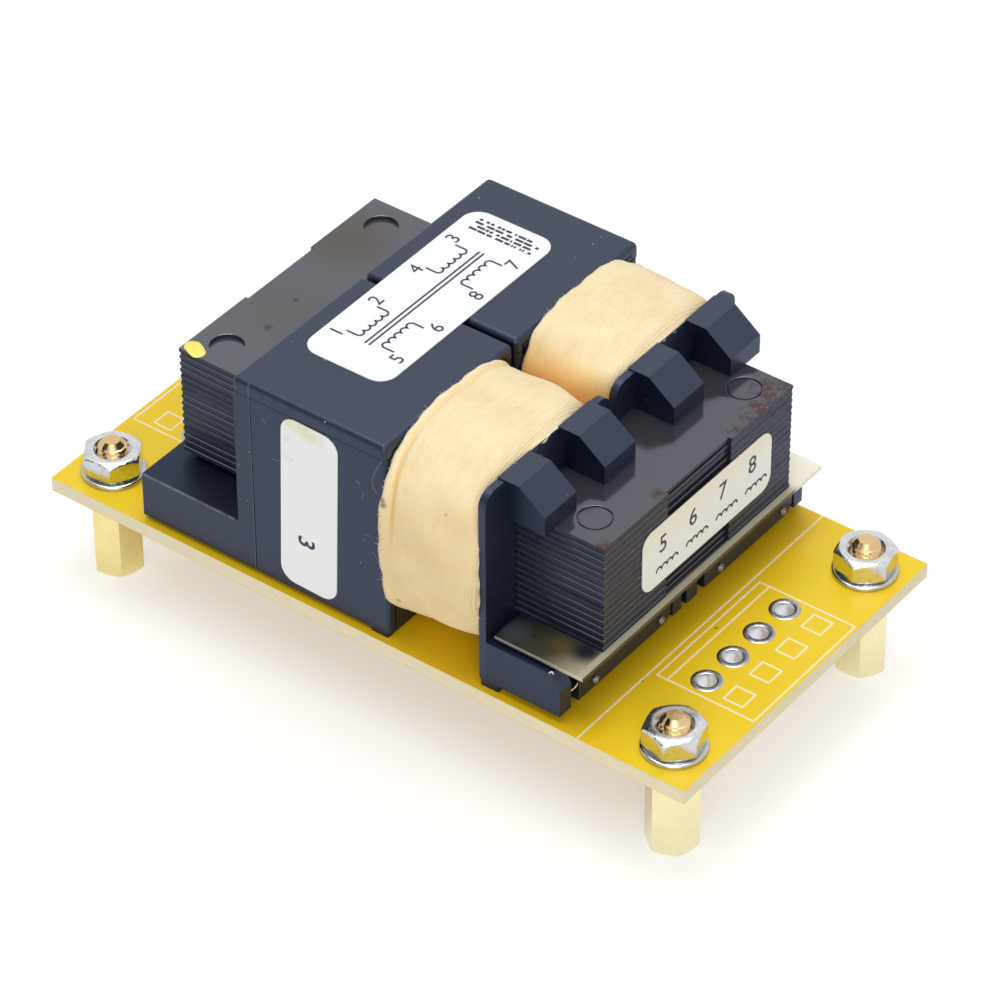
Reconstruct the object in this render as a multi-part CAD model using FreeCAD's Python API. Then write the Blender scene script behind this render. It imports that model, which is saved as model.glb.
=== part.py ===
"""Flat two-leg mains transformer on a small circuit board that stands on four standoffs.

Millimetres. +X runs along the board from the input end to the output end, +Y to the back and +Z up.
The origin is on the floor, under the middle of the board.
"""
import FreeCAD, Part
import math
import os

os.makedirs("parts", exist_ok=True)
V = FreeCAD.Vector

# Circuit board
board_length = 75.8
board_width = 40.2
board_thick = 1.6
mount_inset_x = 4.24
mount_inset_y = 4.42
mount_hole_dia = 3.2

# Standoffs: hexagonal brass bodies with a threaded stud above and a tapped hole below
standoff_length = 10.0
standoff_across = 4.7
foot_bevel_slope = 0.6
tap_hole_dia = 2.5
tap_hole_depth = 7.0
stud_dia = 2.9
stud_length = 5.55
stud_tip_dia = 1.7
stud_tip_length = 0.9
stud_root = 0.5
drill_point_share = 1 / 3

# Washers and nuts
washer_dia = 6.5
washer_thick = 0.5
nut_across = 5.5
nut_thick = 2.4
nut_bore_dia = 3.05
nut_bevel_slope = 0.58
bevel_inset = 0.1
bevel_ring_margin = 0.1

# Wire sleeves in the board, four at each end
sleeve_inset_x = 7.12
sleeve_pitch = 4.26
sleeve_count = 4
sleeve_rim_dia = 3.15
sleeve_rim_thick = 0.08
sleeve_outer_dia = 2.25
sleeve_bore_dia = 1.9

# Laminated core: a U stack with an I stack across its open end
core_x = -0.2
core_y = 0.35
core_lift = 6.2
core_length = 50.0
core_width = 30.2
core_stack = 12.3
yoke_width = 10.0
sheet_count = 16
sheet_edge_thick = 0.43
groove_side_depth = 0.16
groove_end_depth = 0.09
notch_depth = 0.33
dimple_dia = 4.2
dimple_in_x = 3.5
dimple_in_y = 3.2
dimple_deep = 0.3
dimple_faint = 0.1

# Bobbins: the two are alike, one on each leg of the core
leg_clearance = 0.12
tube_wall = 0.8
bobbin_seam = 0.83
input_flange_thick = 2.0
input_flange_gap = 0.5
shelf_length = 12.0
shelf_bottom = 0.43
shelf_top = 5.45
shelf_pad_inset = 0.8
middle_flange_thick = 1.0
output_flange_thick = 0.8
output_flange_top = 22.7
output_flange_radius = 1.6
rail_width = 2.0
rail_inset = 0.2
base_length = 8.5
base_bottom = 0.75
base_top = 5.8
end_block_width = 1.75
end_block_drop = 0.35
end_block_bevel_x = 1.0
end_block_bevel_z = 1.7
wire_slot_width = 1.2
wire_slot_depth = 2.2
gap_slot_width = 0.35
far_block_width = 1.4
block_foot_radius = 1.3
guard_offset = 4.6
guard_shift = 0.33
guard_width = 4.83
guard_top = 22.85
guard_flat = 1.6
guard_reach = 4.55
guard_end_rise = 2.07
lead_bevel = 2.5
lead_edge = 0.1

# Covers over the input windings
cover_length = 18.1
cover_top = 23.0
cover_bottom = 0.43
cover_wall = 1.0
cover_cap_height = 1.6
cover_cap_proud = 0.12
cover_edge_radius = 0.6
cover_corner_radius = 0.5
cover_seam = 0.5
cover_fit = 0.05

# Windings and the cloth tape round the output windings
input_coil_gap = 0.4
input_coil_build = 3.05
input_coil_radius_share = 1 / 3
coil_squareness_out = 2.35
coil_squareness_in = 3.5
coil_build_out = 6.42
coil_build_up = 5.75
coil_build_down = 5.15
coil_seam = 0.27
coil_start_share = 0.99
coil_end_share = 0.95
tape_thick = 0.5
coil_points = 28

# Insulating card between the core and the output terminal bases
card_gap = 0.6
card_overhang_right = 0.7
card_overhang_front = 4.1
card_overhang_back = 4.45
card_thick = 0.4

# Terminal pins, two at each end of each bobbin
pin_size = 0.6
pin_pitch = 10.5
pin_shift = 1.05
pin_count = 2
pin_tail = 3.0
pin_into_base = 1.9
input_pin_inset = 2.1
output_pin_inset = 1.4
output_pin_reach = 1.5
solder_dia = 2.2
solder_tip_dia = 1.1
solder_height = 0.9

# Labels and the paint dot
label_thick = 0.12
top_label_length = 26.4
top_label_width = 9.65
top_label_inset = 2.2
top_label_shift = 0.85
top_label_radius = 2.0
side_label_width = 6.8
side_label_height = 19.45
side_label_inset = 5.3
side_label_lift = 1.65
side_label_radius = 1.7
end_label_length = 20.7
end_label_height = 6.9
end_label_shift = 1.25
end_label_lift = 2.55
end_label_radius = 1.5
dot_inset_x = 1.4
dot_inset_y = 1.2
dot_dia = 2.3

# How far a cut reaches past the face it opens, and how near two places count as one
past = 1.0
near = 0.01

# Heights and places that follow from the sizes above
board_top = standoff_length + board_thick
core_left = core_x - core_length / 2
core_right = core_x + core_length / 2
core_front = core_y - core_width / 2
core_back = core_y + core_width / 2
core_bottom = board_top + core_lift
core_top = core_bottom + core_stack
leg_width = core_width / 3
leg_y = leg_width
window_left = core_left + yoke_width
window_right = core_right - yoke_width
core_middle_z = core_bottom + core_stack / 2
bobbin_half = leg_y - bobbin_seam / 2
bobbin_left = window_left + input_flange_gap
cover_left = bobbin_left + input_flange_thick
cover_right = bobbin_left + cover_length
cap_bottom = board_top + cover_top - cover_cap_height
output_flange_left = window_right - output_flange_thick
base_right = window_right + base_length
bobbin_y = (core_y - leg_y, core_y + leg_y)
cover_inside = bobbin_half - cover_wall - cover_fit
coil_out = leg_width / 2 + coil_build_out
coil_in = leg_y - coil_seam / 2
coil_up = core_stack / 2 + coil_build_up
coil_down = core_stack / 2 + coil_build_down
input_pin_x = bobbin_left - shelf_length + input_pin_inset
output_pin_x = base_right - output_pin_inset
sleeve_x = board_length / 2 - sleeve_inset_x
mount_x = board_length / 2 - mount_inset_x
mount_y = board_width / 2 - mount_inset_y

# Corners in the order front left, front right, back right, back left, with the turn of each hexagon
corners = ((-mount_x, -mount_y), (mount_x, -mount_y), (mount_x, mount_y), (-mount_x, mount_y))
standoff_turns = (14.4, 20.0, 1.4, 50.0)
nut_turns = (4.0, 45.0, 40.0, 25.0)


def box(x0, x1, y0, y1, z0, z1):
    """A block between two opposite corners."""
    return Part.makeBox(x1 - x0, y1 - y0, z1 - z0, V(x0, y0, z0))


def rod(dia, x, y, z0, z1):
    """An upright cylinder."""
    return Part.makeCylinder(dia / 2, z1 - z0, V(x, y, z0))


def prism(points, direction):
    """A flat outline swept in a straight line."""
    closed = points + [points[0]]
    face = Part.Face(Part.makePolygon(closed))
    return face.extrude(direction)


def fuse(shapes):
    """Join overlapping or touching solids into one."""
    joined = shapes[0].multiFuse(shapes[1:])
    return joined.removeSplitter()


def save(shape, node):
    """Write one node's solids."""
    shape.exportStep("parts/" + node + ".step")


def hexagon(across, x, y, turn, z0, z1):
    """An upright hexagonal bar with its first corner at the given angle."""
    radius = across / math.sqrt(3)
    points = []
    for k in range(6):
        angle = math.radians(turn + 60 * k)
        points.append(V(x + radius * math.cos(angle), y + radius * math.sin(angle), z0))
    return prism(points, V(0, 0, z1 - z0))


def corner_bevel(across, x, y, z, slope, direction):
    """What a turned bevel takes off the corners of a hexagonal bar at one end; direction points outwards."""
    radius = across / math.sqrt(3) + bevel_ring_margin
    flat = across / 2 - bevel_inset
    drop = (radius - flat) * slope
    base = V(x, y, z - direction * drop)
    ring = Part.makeCylinder(radius, drop, base, V(0, 0, direction))
    return ring.cut(Part.makeCone(radius, flat, drop, base, V(0, 0, direction)))


def standoff(x, y, turn):
    """Hexagonal body with bevelled foot, blind tapped hole and a stud with a coned tip."""
    body = hexagon(standoff_across, x, y, turn, 0, standoff_length)
    body = body.cut(corner_bevel(standoff_across, x, y, 0, foot_bevel_slope, -1))
    tip_z = standoff_length + stud_length - stud_tip_length
    shank = rod(stud_dia, x, y, standoff_length - stud_root, tip_z)
    tip = Part.makeCone(stud_dia / 2, stud_tip_dia / 2, stud_tip_length, V(x, y, tip_z))
    hole = rod(tap_hole_dia, x, y, -past, tap_hole_depth)
    point_length = tap_hole_dia * drill_point_share
    point = Part.makeCone(tap_hole_dia / 2, 0, point_length, V(x, y, tap_hole_depth))
    return fuse([body, shank, tip]).cut(hole).cut(point)


def standoffs():
    """Four standoffs, one under each corner of the board."""
    solids = []
    for (x, y), turn in zip(corners, standoff_turns):
        solids.append(standoff(x, y, turn))
    return Part.makeCompound(solids)


def washers():
    """Four flat washers on top of the board."""
    solids = []
    for x, y in corners:
        disc = rod(washer_dia, x, y, board_top, board_top + washer_thick)
        solids.append(disc.cut(rod(mount_hole_dia, x, y, board_top - past, board_top + past)))
    return Part.makeCompound(solids)


def nuts():
    """Four hexagonal nuts with both faces bevelled."""
    bottom = board_top + washer_thick
    top = bottom + nut_thick
    solids = []
    for (x, y), turn in zip(corners, nut_turns):
        body = hexagon(nut_across, x, y, turn, bottom, top)
        body = body.cut(corner_bevel(nut_across, x, y, top, nut_bevel_slope, 1))
        body = body.cut(corner_bevel(nut_across, x, y, bottom, nut_bevel_slope, -1))
        solids.append(body.cut(rod(nut_bore_dia, x, y, bottom - past, top + past)))
    return Part.makeCompound(solids)


def sleeve_places(side):
    """Centres of the four sleeves at one end; side is +1 for the output end."""
    first = -sleeve_pitch * (sleeve_count - 1) / 2
    return [(side * sleeve_x, first + sleeve_pitch * k) for k in range(sleeve_count)]


def pin_places(x):
    """Centres of the four pins in one row across both bobbins."""
    first = pin_shift - pin_pitch * (pin_count - 1) / 2
    places = []
    for y in bobbin_y:
        for k in range(pin_count):
            places.append((x, y + first + pin_pitch * k))
    return places


def circuit_board():
    """Rectangular board with corner holes, sleeve holes and pin holes.

    A pin hole is as wide as its pin, because solder fills the rest of it.
    """
    half_x = board_length / 2
    half_y = board_width / 2
    shape = box(-half_x, half_x, -half_y, half_y, standoff_length, board_top)
    holes = []
    for x, y in corners:
        holes.append(rod(mount_hole_dia, x, y, standoff_length - past, board_top + past))
    for x, y in sleeve_places(1) + sleeve_places(-1):
        holes.append(rod(sleeve_outer_dia, x, y, standoff_length - past, board_top + past))
    half = pin_size / 2
    for x, y in pin_places(input_pin_x) + pin_places(output_pin_x):
        holes.append(box(x - half, x + half, y - half, y + half,
                         standoff_length - past, board_top + past))
    return shape.cut(Part.makeCompound(holes))


def sleeves(side):
    """Four plated wire holes: a barrel with a thin rim on each face of the board."""
    solids = []
    for x, y in sleeve_places(side):
        barrel = rod(sleeve_outer_dia, x, y, standoff_length, board_top)
        upper = rod(sleeve_rim_dia, x, y, board_top, board_top + sleeve_rim_thick)
        lower = rod(sleeve_rim_dia, x, y, standoff_length - sleeve_rim_thick, standoff_length)
        bore = rod(sleeve_bore_dia, x, y, standoff_length - past, board_top + past)
        solids.append(fuse([lower, barrel, upper]).cut(bore))
    return Part.makeCompound(solids)


def u_outline(end_inset, side_inset, notch):
    """Corners of one U sheet, with a shallow notch in the middle third of its closed end."""
    left = core_left + end_inset
    front = core_front + side_inset
    back = core_back - side_inset
    inner_front = core_front + leg_width
    inner_back = core_back - leg_width
    return [(window_right, front), (window_right, inner_front), (window_left, inner_front),
            (window_left, inner_back), (window_right, inner_back), (window_right, back),
            (left, back), (left, inner_back), (left + notch, inner_back),
            (left + notch, inner_front), (left, inner_front), (left, front)]


def i_outline(end_inset, side_inset, notch):
    """Corners of one I sheet, notched in the middle third of its outer edge."""
    right = core_right - end_inset
    front = core_front + side_inset
    back = core_back - side_inset
    inner_front = core_front + leg_width
    inner_back = core_back - leg_width
    return [(window_right, front), (right, front), (right, inner_front), (right - notch, inner_front),
            (right - notch, inner_back), (right, inner_back), (right, back), (window_right, back)]


def stack(outline):
    """Sheets whose sheared edges stand proud, with a thin recess between each pair."""
    recess = (core_stack - sheet_count * sheet_edge_thick) / (sheet_count - 1)
    pitch = sheet_edge_thick + recess
    solids = []
    for k in range(sheet_count):
        z = core_bottom + pitch * k
        points = [V(x, y, z) for x, y in outline(0, 0, notch_depth)]
        solids.append(prism(points, V(0, 0, sheet_edge_thick)))
        if k < sheet_count - 1:
            z = z + sheet_edge_thick
            points = [V(x, y, z) for x, y in outline(groove_end_depth, groove_side_depth, 2 * notch_depth)]
            solids.append(prism(points, V(0, 0, recess)))
    return fuse(solids)


def dimples(side, depths):
    """Two round pressed marks at one end of the top sheet."""
    x = core_x + side * (core_length / 2 - dimple_in_x)
    y_off = core_width / 2 - dimple_in_y
    cuts = []
    for y, depth in ((core_y - y_off, depths[0]), (core_y + y_off, depths[1])):
        cuts.append(rod(dimple_dia, x, y, core_top - depth, core_top + past))
    return Part.makeCompound(cuts)


def tube(centre_y):
    """Rectangular tube that the winding sits on, open to the leg of the core."""
    outer_y = leg_width / 2 + leg_clearance + tube_wall
    outer_z = core_stack / 2 + leg_clearance + tube_wall
    z = core_middle_z
    return box(window_left + leg_clearance, window_right, centre_y - outer_y, centre_y + outer_y,
               z - outer_z, z + outer_z)


def leg_space(centre_y):
    """The clear passage for one leg of the core."""
    half_y = leg_width / 2 + leg_clearance
    half_z = core_stack / 2 + leg_clearance
    z = core_middle_z
    return box(core_left, window_right + past, centre_y - half_y, centre_y + half_y, z - half_z, z + half_z)


def shelf(centre_y):
    """Input flange and the low shelf that carries the input pins, with a pad under the core."""
    y0 = centre_y - bobbin_half
    y1 = centre_y + bobbin_half
    bottom = board_top + shelf_bottom
    flange = box(bobbin_left, cover_left, y0, y1, bottom, cap_bottom)
    ledge = box(bobbin_left - shelf_length, cover_left, y0, y1, bottom, board_top + shelf_top)
    half = leg_width / 2 - shelf_pad_inset
    pad = box(core_left + shelf_pad_inset, bobbin_left, centre_y - half, centre_y + half,
              board_top + shelf_top - past, core_bottom)
    return [flange, ledge, pad]


def middle_flange(centre_y):
    """Wall between the two windings, with a rail under it that stands on the board."""
    half = cover_inside
    left = cover_right - middle_flange_thick
    top = board_top + cover_top - cover_wall - cover_fit
    wall = box(left, cover_right, centre_y - half, centre_y + half, board_top + cover_bottom, top)
    rail_right = cover_right - rail_inset
    rail = box(rail_right - rail_width, rail_right, centre_y - bobbin_half, centre_y + bobbin_half,
               board_top, board_top + cover_bottom)
    return [wall, rail]


def output_flange(centre_y):
    """Outer wall of the output winding, with rounded upper corners."""
    y0 = centre_y - bobbin_half
    y1 = centre_y + bobbin_half
    top = board_top + output_flange_top
    wall = box(output_flange_left, window_right, y0, y1, board_top + base_bottom, top)
    edges = []
    for edge in wall.Edges:
        middle = edge.CenterOfMass
        at_side = abs(abs(middle.y - centre_y) - bobbin_half) < near
        if at_side and abs(middle.z - top) < near:
            edges.append(edge)
    return wall.makeFillet(output_flange_radius, edges)


def terminal_base(centre_y):
    """Long block behind the output flange, cut into blocks by the wire slots, on a low rail."""
    y0 = centre_y - bobbin_half
    y1 = centre_y + bobbin_half
    bottom = board_top + base_bottom
    top = board_top + base_top
    body = box(output_flange_left, base_right, y0, y1, bottom, top)
    rail_left = output_flange_left + rail_inset
    rail = box(rail_left, rail_left + rail_width, y0, y1, board_top, bottom)
    slot_left = base_right - wire_slot_depth
    slot_y = y0 + end_block_width
    slot_end = slot_y + wire_slot_width
    slot = box(slot_left, base_right + past, slot_y, slot_end, board_top, top + past)
    gap_y = y1 - far_block_width
    gap = box(slot_left, base_right + past, gap_y - gap_slot_width, gap_y, board_top, top + past)
    end_top = top - end_block_drop
    lowered = box(output_flange_left, base_right + past, y0, slot_y, end_top, top + past)
    shape = fuse([body, rail]).cut(slot).cut(gap).cut(lowered)
    shape = shape.cut(end_bevel(y0, slot_y, end_top))
    return shape.cut(block_foot_rounding(gap_y - gap_slot_width, bottom))


def end_bevel(y0, y1, top):
    """The sloping cut on the outer top corner of the end block."""
    points = [V(base_right - end_block_bevel_x, y0, top), V(base_right + past, y0, top),
              V(base_right + past, y0, top - end_block_bevel_z),
              V(base_right, y0, top - end_block_bevel_z)]
    return prism(points, V(0, y1 - y0, 0))


def block_foot_rounding(y_end, bottom):
    """The rounded lower corner where the long block ends at the narrow slot."""
    r = block_foot_radius
    left = base_right - wire_slot_depth
    corner = box(left, base_right + past, y_end - r, y_end + near, bottom - past, bottom + r)
    length = wire_slot_depth + 2 * past
    round_bar = Part.makeCylinder(r, length, V(left - past, y_end - r, bottom + r), V(1, 0, 0))
    return corner.cut(round_bar)


def wire_guards(centre_y):
    """Two gabled hoods over the core that keep the winding's lead wires apart."""
    top = board_top + guard_top
    flat_end = window_right + guard_flat
    reach = window_right + guard_reach
    eave = core_top + guard_end_rise
    hoods = []
    for side in (-1, 1):
        y = centre_y + guard_shift + side * guard_offset - guard_width / 2
        points = [V(output_flange_left, y, core_top), V(output_flange_left, y, top), V(flat_end, y, top),
                  V(reach, y, eave), V(reach, y, core_top)]
        hoods.append(prism(points, V(0, guard_width, 0)))
    return hoods


def lead_slope(centre_y):
    """What is cut off the output flange between the hoods, so that the lead wires pass over a slope."""
    half_gap = guard_offset - guard_width / 2
    y = centre_y + guard_shift - half_gap
    top = board_top + output_flange_top
    edge = output_flange_left + lead_edge
    right = window_right + past
    points = [V(edge, y, top), V(edge, y, top + past), V(right, y, top + past),
              V(right, y, top - lead_bevel), V(window_right, y, top - lead_bevel)]
    return prism(points, V(0, 2 * half_gap, 0))


def bobbin(centre_y):
    """One moulded bobbin: tube, three flanges, shelf, terminal base and wire guards."""
    parts = [tube(centre_y)] + shelf(centre_y) + middle_flange(centre_y)
    parts += [output_flange(centre_y), terminal_base(centre_y)] + wire_guards(centre_y)
    shape = fuse(parts).cut(leg_space(centre_y))
    core_room = box(window_right, core_right + past, core_front, core_back, core_bottom, core_top)
    return shape.cut(core_room).cut(lead_slope(centre_y))


def cover(side):
    """Channel-shaped cover with a rimmed lid; side is -1 for the front bobbin and +1 for the back one."""
    outer = core_y + side * (leg_y + bobbin_half)
    inner = core_y + side * cover_seam / 2
    rim = outer + side * cover_cap_proud
    bottom = board_top + cover_bottom
    top = board_top + cover_top
    y0, y1 = sorted((outer, inner))
    skirt = box(cover_left, cover_right, y0, y1, bottom, top - cover_wall)
    y0, y1 = sorted((rim, inner))
    cap = box(bobbin_left, cover_right, y0, y1, cap_bottom, top)
    cap_middle = (cap_bottom + top) / 2
    corners_up = [edge for edge in cap.Edges if abs(edge.CenterOfMass.z - cap_middle) < near]
    cap = cap.makeFillet(cover_corner_radius, corners_up)
    rim_edges = [edge for edge in cap.Edges if abs(edge.CenterOfMass.z - top) < near]
    cap = cap.makeFillet(cover_edge_radius, rim_edges)
    skirt_middle = (bottom + top - cover_wall) / 2
    corners_up = []
    for edge in skirt.Edges:
        middle = edge.CenterOfMass
        if abs(middle.z - skirt_middle) < near and abs(middle.x - cover_right) < near:
            corners_up.append(edge)
    skirt = skirt.makeFillet(cover_corner_radius, corners_up)
    y0, y1 = sorted((outer - side * cover_wall, inner + side * cover_wall))
    space = box(cover_left - past, cover_right + past, y0, y1, bottom - past, top - cover_wall)
    flange_room = box(bobbin_left - past, cover_left, core_front - bobbin_half, core_back + bobbin_half,
                      bottom, cap_bottom)
    return fuse([skirt, cap]).cut(space).cut(flange_room)


def coil_wire(x, centre_y, side, shrink, share):
    """A closed curve round the leg: a soft rectangle that bulges away from the other coil.

    Each point lies where |across|^n + |up|^n = 1, with its own half-size in each direction.
    """
    points = []
    for k in range(coil_points):
        angle = 2 * math.pi * k / coil_points
        c = math.cos(angle)
        s = math.sin(angle)
        outward = c > 0
        power = coil_squareness_out if outward else coil_squareness_in
        reach = coil_out * share if outward else coil_in
        rise = (coil_up if s > 0 else coil_down) * share
        length = (abs(c) ** power + abs(s) ** power) ** (-1 / power)
        y = centre_y + side * (reach - shrink) * c * length
        z = core_middle_z + (rise - shrink) * s * length
        points.append(V(x, y, z))
    curve = Part.BSplineCurve()
    curve.interpolate(points, True)
    return Part.Wire(curve.toShape())


def coil_body(side, shrink):
    """Solid outline of one output winding, fullest near the middle flange."""
    centre_y = core_y + side * leg_y
    middle_x = (cover_right + output_flange_left) / 2
    wires = [coil_wire(cover_right, centre_y, side, shrink, coil_start_share),
             coil_wire(middle_x, centre_y, side, shrink, 1.0),
             coil_wire(output_flange_left, centre_y, side, shrink, coil_end_share)]
    return Part.makeLoft(wires, True, True)


def output_winding(side):
    """Copper winding under the tape, on the bobbin's tube."""
    return coil_body(side, tape_thick).cut(tube(core_y + side * leg_y))


def output_tape(side):
    """Turns of cloth tape wrapped over the output winding."""
    return coil_body(side, 0).cut(coil_body(side, tape_thick))


def input_winding(side):
    """Copper winding hidden under a cover."""
    centre_y = core_y + side * leg_y
    z = core_middle_z
    half_y = cover_inside - input_coil_gap
    half_z = core_stack / 2 + input_coil_build
    right = cover_right - middle_flange_thick
    middle_x = (cover_left + right) / 2
    block = box(cover_left, right, centre_y - half_y, centre_y + half_y, z - half_z, z + half_z)
    edges = [edge for edge in block.Edges if abs(edge.CenterOfMass.x - middle_x) < near]
    block = block.makeFillet(half_y * input_coil_radius_share, edges)
    return block.cut(tube(centre_y))


def insulating_card():
    """Thin card under the output end of the core, wider than the core at the front, back and right."""
    return box(window_right + card_gap, core_right + card_overhang_right, core_front - card_overhang_front,
               core_back + card_overhang_back, core_bottom - card_thick, core_bottom)


def input_pins():
    """Four straight square pins from the shelves down through the board."""
    half = pin_size / 2
    top = board_top + pin_into_base
    solids = []
    for x, y in pin_places(input_pin_x):
        solids.append(box(x - half, x + half, y - half, y + half, board_top - pin_tail, top))
    return Part.makeCompound(solids)


def output_pins():
    """Four bent square pins: down through the board, and out of the base for the lead wires."""
    half = pin_size / 2
    top = board_top + pin_into_base
    solids = []
    for x, y in pin_places(output_pin_x):
        upright = box(x - half, x + half, y - half, y + half, board_top - pin_tail, top)
        arm = box(x - half, x + output_pin_reach, y - half, y + half, top - pin_size, top)
        solids.append(fuse([upright, arm]))
    return Part.makeCompound(solids)


def octagon(dia, x, y, z):
    """A level eight-sided outline."""
    points = []
    for k in range(9):
        angle = math.radians(45 * k)
        points.append(V(x + dia / 2 * math.cos(angle), y + dia / 2 * math.sin(angle), z))
    return Part.makePolygon(points)


def solder_joints():
    """Small cones of solder round the pins under the board."""
    half = pin_size / 2
    solids = []
    for x, y in pin_places(input_pin_x) + pin_places(output_pin_x):
        z = standoff_length
        foot = octagon(solder_dia, x, y, z)
        tip = octagon(solder_tip_dia, x, y, z - solder_height)
        pin = box(x - half, x + half, y - half, y + half, z - pin_tail, z + past)
        solids.append(Part.makeLoft([tip, foot], True, True).cut(pin))
    return Part.makeCompound(solids)


def rounded_plate(length, height, radius, thick):
    """A thin plate with rounded corners, lying flat with one corner at the origin."""
    plate = box(0, length, 0, height, 0, thick)
    edges = [edge for edge in plate.Edges if abs(edge.CenterOfMass.z - thick / 2) < thick / 10]
    return plate.makeFillet(radius, edges)


def make_top_label():
    """Label across both covers."""
    plate = rounded_plate(top_label_width, top_label_length, top_label_radius, label_thick)
    y0 = core_y + top_label_shift - top_label_length / 2
    plate.translate(V(bobbin_left + top_label_inset, y0, board_top + cover_top))
    return plate


def make_side_label():
    """Upright label on the front cover."""
    plate = rounded_plate(side_label_width, side_label_height, side_label_radius, label_thick)
    plate.rotate(V(0, 0, 0), V(1, 0, 0), 90)
    y = core_y - leg_y - bobbin_half
    plate.translate(V(bobbin_left + side_label_inset, y, board_top + side_label_lift))
    return plate


def make_end_label():
    """Label on the outer edge of the I stack."""
    plate = rounded_plate(end_label_length, end_label_height, end_label_radius, label_thick)
    plate.rotate(V(0, 0, 0), V(1, 0, 0), 90)
    plate.rotate(V(0, 0, 0), V(0, 0, 1), 90)
    y0 = core_y + end_label_shift - end_label_length / 2
    plate.translate(V(core_right, y0, core_bottom + end_label_lift))
    return plate


def paint_dot():
    """Dab of paint on the top sheet's corner."""
    x = core_left + dot_inset_x
    y = core_front + dot_inset_y
    return rod(dot_dia, x, y, core_top, core_top + label_thick)


save(circuit_board(), "circuit_board")
save(sleeves(1), "output_sleeves")
save(sleeves(-1), "input_sleeves")
save(standoffs(), "standoffs")
save(washers(), "washers")
save(nuts(), "nuts")
save(stack(u_outline).cut(dimples(-1, (dimple_deep, dimple_deep))), "u_stack")
save(stack(i_outline).cut(dimples(1, (dimple_faint, dimple_faint))), "i_stack")
save(insulating_card(), "insulating_card")
save(input_pins(), "input_pins")
save(output_pins(), "output_pins")
save(solder_joints(), "solder_joints")
pins = Part.makeCompound([input_pins(), output_pins()])
for name, side in (("front", -1), ("back", 1)):
    save(bobbin(core_y + side * leg_y).cut(pins), "bobbin_" + name)
    save(cover(side), "input_cover_" + name)
    save(input_winding(side), "input_winding_" + name)
    save(output_winding(side), "output_winding_" + name)
    save(output_tape(side), "output_tape_" + name)
save(make_top_label(), "top_label")
save(make_side_label(), "side_label")
save(make_end_label(), "end_label")
save(paint_dot(), "paint_dot")
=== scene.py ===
"""Looks of a flat two-leg mains transformer on a small circuit board with four standoffs.

The pieces follow in the order of assembly. Points are worked out in millimetres, in the part's own frame.
"""
import bmesh
import bpy
import math
import numpy as np
from mathutils import Matrix, Vector


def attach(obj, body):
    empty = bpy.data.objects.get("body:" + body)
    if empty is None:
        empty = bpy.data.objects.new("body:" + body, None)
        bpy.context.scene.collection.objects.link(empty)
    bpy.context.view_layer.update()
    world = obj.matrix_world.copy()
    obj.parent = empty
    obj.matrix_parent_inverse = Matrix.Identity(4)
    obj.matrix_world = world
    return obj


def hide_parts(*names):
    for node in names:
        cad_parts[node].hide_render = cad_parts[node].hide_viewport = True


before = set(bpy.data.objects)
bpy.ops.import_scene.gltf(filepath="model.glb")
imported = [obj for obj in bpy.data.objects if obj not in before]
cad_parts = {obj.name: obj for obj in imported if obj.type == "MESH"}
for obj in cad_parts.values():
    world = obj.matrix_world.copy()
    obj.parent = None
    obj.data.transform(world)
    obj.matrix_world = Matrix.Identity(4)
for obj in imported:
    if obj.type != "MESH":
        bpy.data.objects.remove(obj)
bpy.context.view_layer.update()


# Standoffs. Four hexagonal brass pillars, turned from bar: a bevelled foot with a tapped hole below,
# and above the board a stud with a rolled thread and a coned tip.

MM = 0.001
BOARD_BOTTOM, BOARD_TOP = 10.0, 11.6
PILLAR_ACROSS = 4.7
TAPPED_RADIUS = 1.25
STUD_RADIUS = 1.45
CONE_START, STUD_TIP = 15.0, 15.55
SCREW_PITCH = 0.5
CORNER_X, CORNER_Y = 33.66, 15.68
FOUR_WAYS = ((-1, -1), (1, -1), (1, 1), (-1, 1))


class Value:
    """One output of a shader node. Arithmetic on it adds Math nodes."""

    def __init__(self, finish, socket):
        self.finish = finish
        self.socket = socket

    def maths(self, operation, first, second):
        """A Math node on two values or numbers."""
        return self.finish.node("Math", {"operation": operation}, {0: first, 1: second})

    def __add__(self, other):
        return self.maths("ADD", self, other)

    def __radd__(self, other):
        return self.maths("ADD", other, self)

    def __sub__(self, other):
        return self.maths("SUBTRACT", self, other)

    def __rsub__(self, other):
        return self.maths("SUBTRACT", other, self)

    def __mul__(self, other):
        return self.maths("MULTIPLY", self, other)

    def __rmul__(self, other):
        return self.maths("MULTIPLY", other, self)

    def __truediv__(self, other):
        return self.maths("DIVIDE", self, other)

    def __rtruediv__(self, other):
        return self.maths("DIVIDE", other, self)

    def __gt__(self, other):
        return self.maths("GREATER_THAN", self, other)

    def __lt__(self, other):
        return self.maths("LESS_THAN", self, other)

    def between(self, low, high):
        """1 where this value lies between two numbers and 0 elsewhere."""
        return (self > low) * (self < high)

    def wave(self, period):
        """Sine wave of this value, with the given period."""
        return self.finish.node("Math", {"operation": "SINE"}, {0: self * (2 * math.pi / period)})

    def ramp(self, start, end, low=0.0, high=1.0):
        """Smooth step from low to high while this value goes from start to end."""
        return self.finish.node("MapRange", {"interpolation_type": "SMOOTHSTEP"},
                                {0: self, 1: start, 2: end, 3: low, 4: high})


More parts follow.
